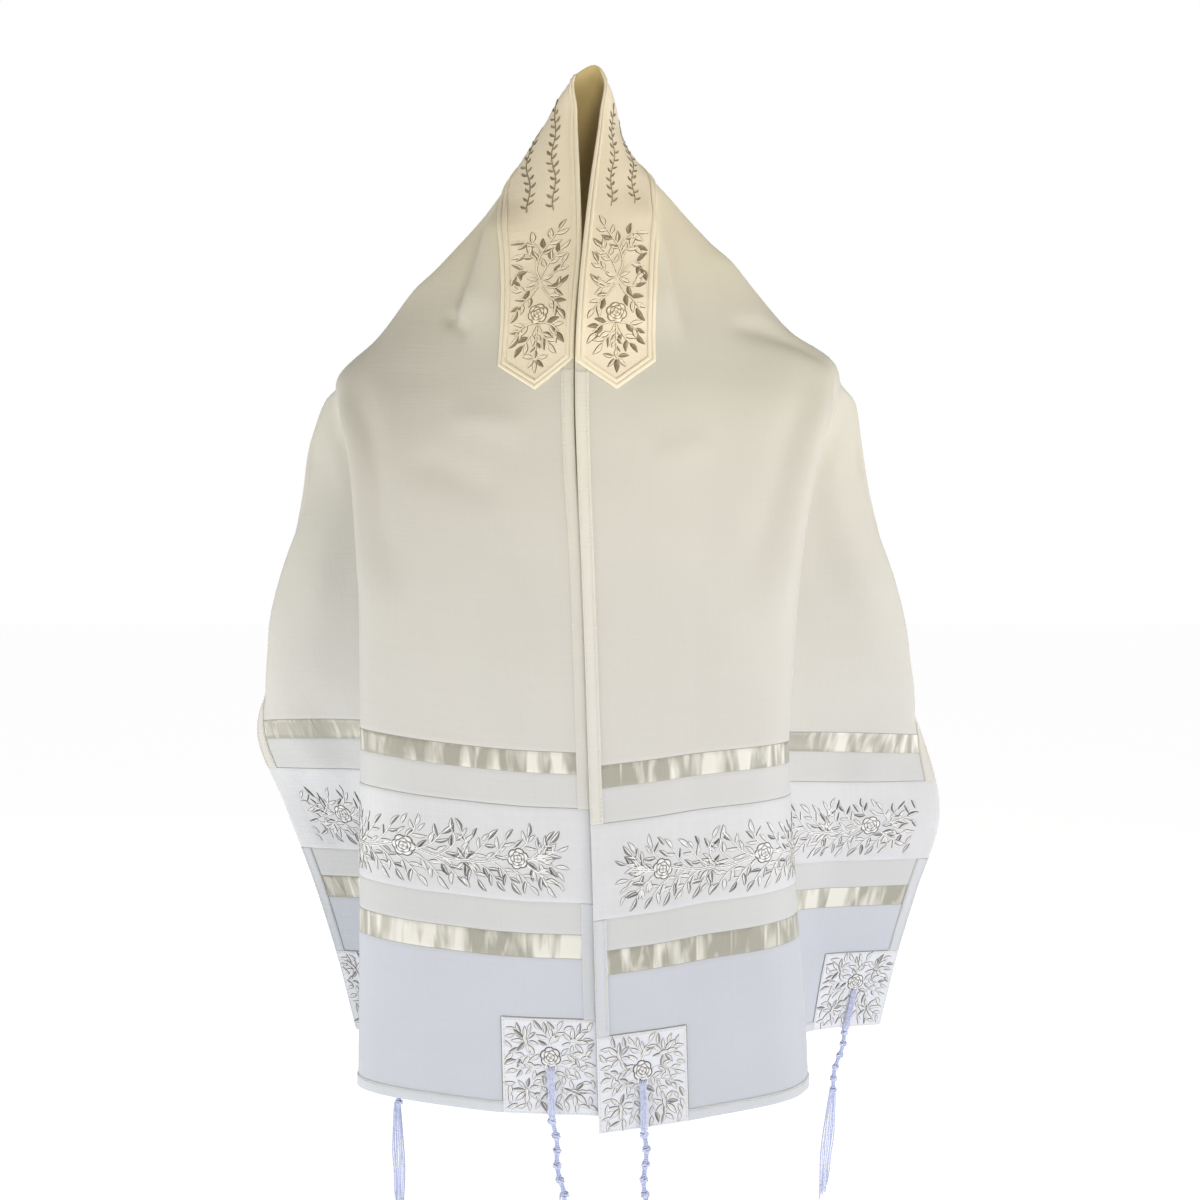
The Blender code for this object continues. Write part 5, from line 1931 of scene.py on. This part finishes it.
    def _plied(self, line: Array, shade: float, turn: float) -> None:
        """A cord of two plies twisted round each other.

        Args:
            line: Places that its middle goes through.
            shade: The wool's shade.
            turn: Where its twist starts.
        """
        run = run_along(line)
        reach = np.arange(0, run[-1], self.ply_step)
        centre = smooth_through(run, line, reach)
        way = unit(np.gradient(centre, axis=0))
        aside = unit(np.cross(way, np.array([0.31, 0.9, 0.12])))
        other = np.cross(way, aside)
        radius = self.cord_radius
        # Both ends are rounded off.
        ends = np.clip(np.minimum(reach, reach[-1] - reach) / self.ply_step + 0.25, 0, 1)
        for ply in (0, 1):
            angle = (reach / self.ply_pitch + 0.5 * ply) * math.tau + turn
            self._tube(centre + 0.5 * radius * circle(angle, aside, other), 0.62 * radius * ends, 5,
                       shade + 0.12 * ply)

    def _tube(self, line: Array, radius: Array, sides: int, shade: float) -> None:
        """A closed round tube.

        Args:
            line: Its middle, point by point.
            radius: Its radius at each point.
            sides: How many sides it has.
            shade: The wool's shade.
        """
        way = unit(np.gradient(line, axis=0))
        normal = np.cross(way[0], np.array([0.2, 0.5, 0.8]))
        angles = np.arange(sides) * math.tau / sides
        rings = []
        for middle, ahead, reach in zip(line, way, radius):
            normal = unit(normal - ahead * (normal @ ahead))
            rings.append(middle + reach * circle(angles, normal, np.cross(ahead, normal)))
        count = len(line)
        faces = [(r * sides + k, r * sides + (k + 1) % sides, (r + 1) * sides + (k + 1) % sides,
                  (r + 1) * sides + k) for r in range(count - 1) for k in range(sides)]
        faces.append(tuple(reversed(range(sides))))
        faces.append(tuple((count - 1) * sides + k for k in range(sides)))
        # The wool's fibres run round the tube.
        run = np.arange(count)[:, None] * 0.8 + np.arange(sides)[None, :] * 0.5
        self.mesh.add(np.vstack(rings), faces, np.stack([run.ravel(), np.zeros(run.size)], 1), shade)


# Each tassel's half and corner, and how far it leans in x and to the back.
TASSEL_LEANS = (
    (Side.LEFT, Corner.FRONT, 0.16, -0.04),
    (Side.RIGHT, Corner.FRONT, 0.03, -0.06),
    (Side.LEFT, Corner.WING, 0.02, 0.04),
    (Side.RIGHT, Corner.WING, -0.20, 0.05),
)


@dataclass
class Tassels:
    """The four corner tassels."""

    drape: Drape

    def build(self) -> None:
        """Make every tassel."""
        for side, corner, lean_x, lean_back in TASSEL_LEANS:
            Tassel(self.drape, side, corner, lean_x, lean_back).build()


# --------------------------------------------------------------------- studio
@dataclass(frozen=True)
class Lamp:
    """A square soft light, its target, and its side in metres and power in watts."""

    name: str
    place: Place
    target: Place
    side: float
    power: float
    colour: str

    def build(self) -> None:
        """Add the light to the scene."""
        data = bpy.data.lights.new(self.name, "AREA")
        data.size = self.side
        data.energy = self.power
        data.color = linear(self.colour)[:3]
        lamp = add_object(self.name, data)
        lamp.location = self.place
        way = Vector(self.target) - Vector(self.place)
        lamp.rotation_euler = way.to_track_quat("-Z", "Y").to_euler()


LAMPS = (
    Lamp("key_left", (-1.8, -0.85, -0.85), (-0.2, 0.0, -0.7), 0.7, 16.5, "#FFFCF4"),
    Lamp("key_right", (1.8, -1.35, -0.72), (0.0, 0.0, -0.65), 0.7, 10.0, "#F6F8FF"),
    Lamp("side_left", (-1.6, -0.50, -0.30), (-0.2, 0.0, -0.5), 0.5, 1.5, "#FFFCF4"),
    Lamp("side_right", (1.6, -0.60, -0.30), (0.2, 0.0, -0.5), 0.5, 7.5, "#FFF8EC"),
    Lamp("hood_right", (0.40, -1.00, 0.05), (0.0, 0.0, -0.22), 0.4, 4.4, "#FFF2DC"),
    Lamp("back_soft", (0.3, 2.0, -0.2), (0.0, 0.1, -0.6), 1.2, 15.0, "#F8FAFF"),
)


@dataclass
class Studio:
    """Pale floor, soft lights and the camera in front of the shawl, in metres."""

    floor_z: float = -1.19
    floor_half: float = 30.0
    floor_glow: float = 0.97
    camera_place: Place = (0.005, -1.12, -0.525)
    sensor_mm: float = 36.0
    lens_mm: float = 34.25

    def build(self) -> None:
        """Make the floor, the world, the lights and the camera."""
        self._floor()
        self._world()
        for lamp in LAMPS:
            lamp.build()
        self._camera()

    def _floor(self) -> None:
        """A wide white floor that glows a little, as one lit from all round."""
        half = self.floor_half
        data = bpy.data.meshes.new("studio_floor")
        around = ((-half, -half), (half, -half), (half, half), (-half, half))
        data.from_pydata([(x, y, self.floor_z) for x, y in around], [], [(0, 1, 2, 3)])
        # Matt emulsion, rolled on: even, and without any shine.
        paint, add, shader = new_material("studio_paint_white")
        noise = add("TexNoise", Scale=40.0)
        tone = add("ValToRGB", Fac=noise, stops=((0.0, "#9A9A9A"), (1.0, "#9E9E9E")))
        feed(shader, Base_Color=tone, Roughness=0.9, Emission_Color=(1.0, 1.0, 1.0, 1.0),
             Emission_Strength=self.floor_glow)
        data.materials.append(paint)
        add_object("studio_floor", data)

    def _world(self) -> None:
        """A white surround that lights the shawl most from its horizon and from in front."""
        world = bpy.data.worlds.new("studio_world")
        world.use_nodes = True
        add = partial(add_node, world.node_tree)
        seen = add("Background", Color=(1.0, 1.0, 1.0, 1.0), Strength=1.0)
        way = add("SeparateXYZ", Vector=add("TexCoord").outputs["Generated"])
        above = add("MapRange", Value=way.outputs["Z"], From_Min=0.0, From_Max=0.8, To_Min=1.0, To_Max=0.06)
        ahead = add("MapRange", Value=way.outputs["Y"], From_Min=-1.0, From_Max=0.6, To_Min=0.50, To_Max=0.22)
        aside = add("MapRange", Value=way.outputs["X"], From_Min=-1.0, From_Max=1.0, To_Min=0.44, To_Max=0.42)
        faced = add("Math", {"operation": "MULTIPLY"}, i0=above, i1=ahead)
        strength = add("Math", {"operation": "MULTIPLY"}, i0=faced, i1=aside)
        lit = add("Background", Color=(1.0, 0.97, 0.90, 1.0), Strength=strength)
        path = add("LightPath").outputs["Is Camera Ray"]
        feed(world.node_tree.nodes["World Output"], Surface=add("MixShader", i0=path, i1=lit, i2=seen))
        bpy.context.scene.world = world

    def _camera(self) -> None:
        """A level camera at the height of the shawl's middle."""
        data = bpy.data.cameras.new("camera")
        data.sensor_width = self.sensor_mm
        data.lens = self.lens_mm
        camera = add_object("camera", data)
        camera.location = self.camera_place
        camera.rotation_euler = (math.pi / 2, 0.0, 0.0)
        bpy.context.scene.camera = camera
        bpy.context.scene.view_settings.view_transform = "Standard"


# Soft folds, given one by one in flat places. A depth less than 0 is a trough.
CREASES = (
    # Down the left of the hood: a broad ridge with a steep outer flank, a narrow
    # trough beside it, a small hook at its end, and a soft ridge further out.
    Crease((-142, 75), (-304, 124), 38, 9.0, 3, far_width=5.5),
    Crease((-148, 85), (-306, 133), 5, -3.6, 3, far_width=10),
    Crease((-284, 136), (-304, 108), 7, -3.4, 2),
    Crease((-196, 160), (-318, 206), 15, 2.4, 3),
    # Down the right of the hood: the same, straighter and without the hook, and a
    # pull to the shoulder.
    Crease((140, 60), (314, 98), 32, 7.0, -2, far_width=6),
    Crease((146, 70), (318, 108), 5, -3.0, -2, far_width=10),
    Crease((190, 146), (318, 196), 17, 3.0, -3),
    Crease((298, 148), (338, 246), 9, -4.6, 4),
    # From the shoulder tips down the sides of the front.
    Crease((-330, 238), (-600, 186), 15, 5.0, 5),
    Crease((-338, 208), (-560, 164), 15, -5.0, 4),
    Crease((332, 240), (600, 178), 15, 4.6, -5),
    Crease((342, 210), (560, 156), 15, -4.2, -4),
    Crease((332, 250), (420, 268), 7, -2.6, 2),
    # Across the chest below the collar band's points, weak and uneven.
    Crease((-384, 128), (-398, 40), 15, 2.2, 5),
    Crease((-425, 158), (-462, 70), 17, -2.0, 4),
    Crease((412, 132), (432, 66), 16, 1.8, -4),
    # Long soft hangs in the fronts.
    Crease((-470, 96), (-860, 110), 26, -2.2, 6),
    Crease((-520, 40), (-900, 52), 24, 1.8, -4),
    Crease((-640, 150), (-990, 158), 22, 2.0, 4),
    Crease((480, 118), (880, 100), 26, -2.2, -6),
    Crease((540, 52), (940, 60), 24, 1.8, 5),
    Crease((640, 160), (990, 148), 22, 2.0, -4),
    # Down the wings from the shoulder tips.
    Crease((-338, 300), (-610, 352), 17, -4.0, 5),
    Crease((-342, 334), (-600, 404), 16, 4.0, -4),
    Crease((-350, 372), (-520, 448), 14, -3.2, 3),
    Crease((-620, 420), (-980, 400), 22, -2.6, 4),
    Crease((338, 302), (600, 346), 17, -4.0, -5),
    Crease((342, 336), (600, 410), 16, 4.0, 4),
    Crease((350, 374), (530, 452), 14, -3.2, -3),
    Crease((640, 410), (980, 392), 22, -2.6, -4),
    # Down the back from the peak to its curved edge.
    Crease((-14, 250), (-52, 492), 21, 4.2, 6),
    Crease((48, 250), (112, 492), 22, -4.4, -6),
    Crease((-120, 270), (-200, 492), 19, -4.0, 6),
    Crease((150, 280), (236, 492), 19, 4.0, -6),
    Crease((-200, 300), (-290, 470), 17, 3.4, 4),
    Crease((240, 310), (300, 470), 16, -3.2, -4),
)


def main() -> None:
    """Dress the shawl and set up the studio."""
    logging.basicConfig(level=logging.INFO, format="%(message)s")
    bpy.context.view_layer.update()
    drape = Drape(CREASES)
    for maker in (Panels, Hems, Squares, Collar, Sewing, Needlework, Tassels):
        LOG.info("making %s", maker.__name__.lower())
        maker(drape).build()
    Studio().build()


if __name__ == "__main__":
    main()
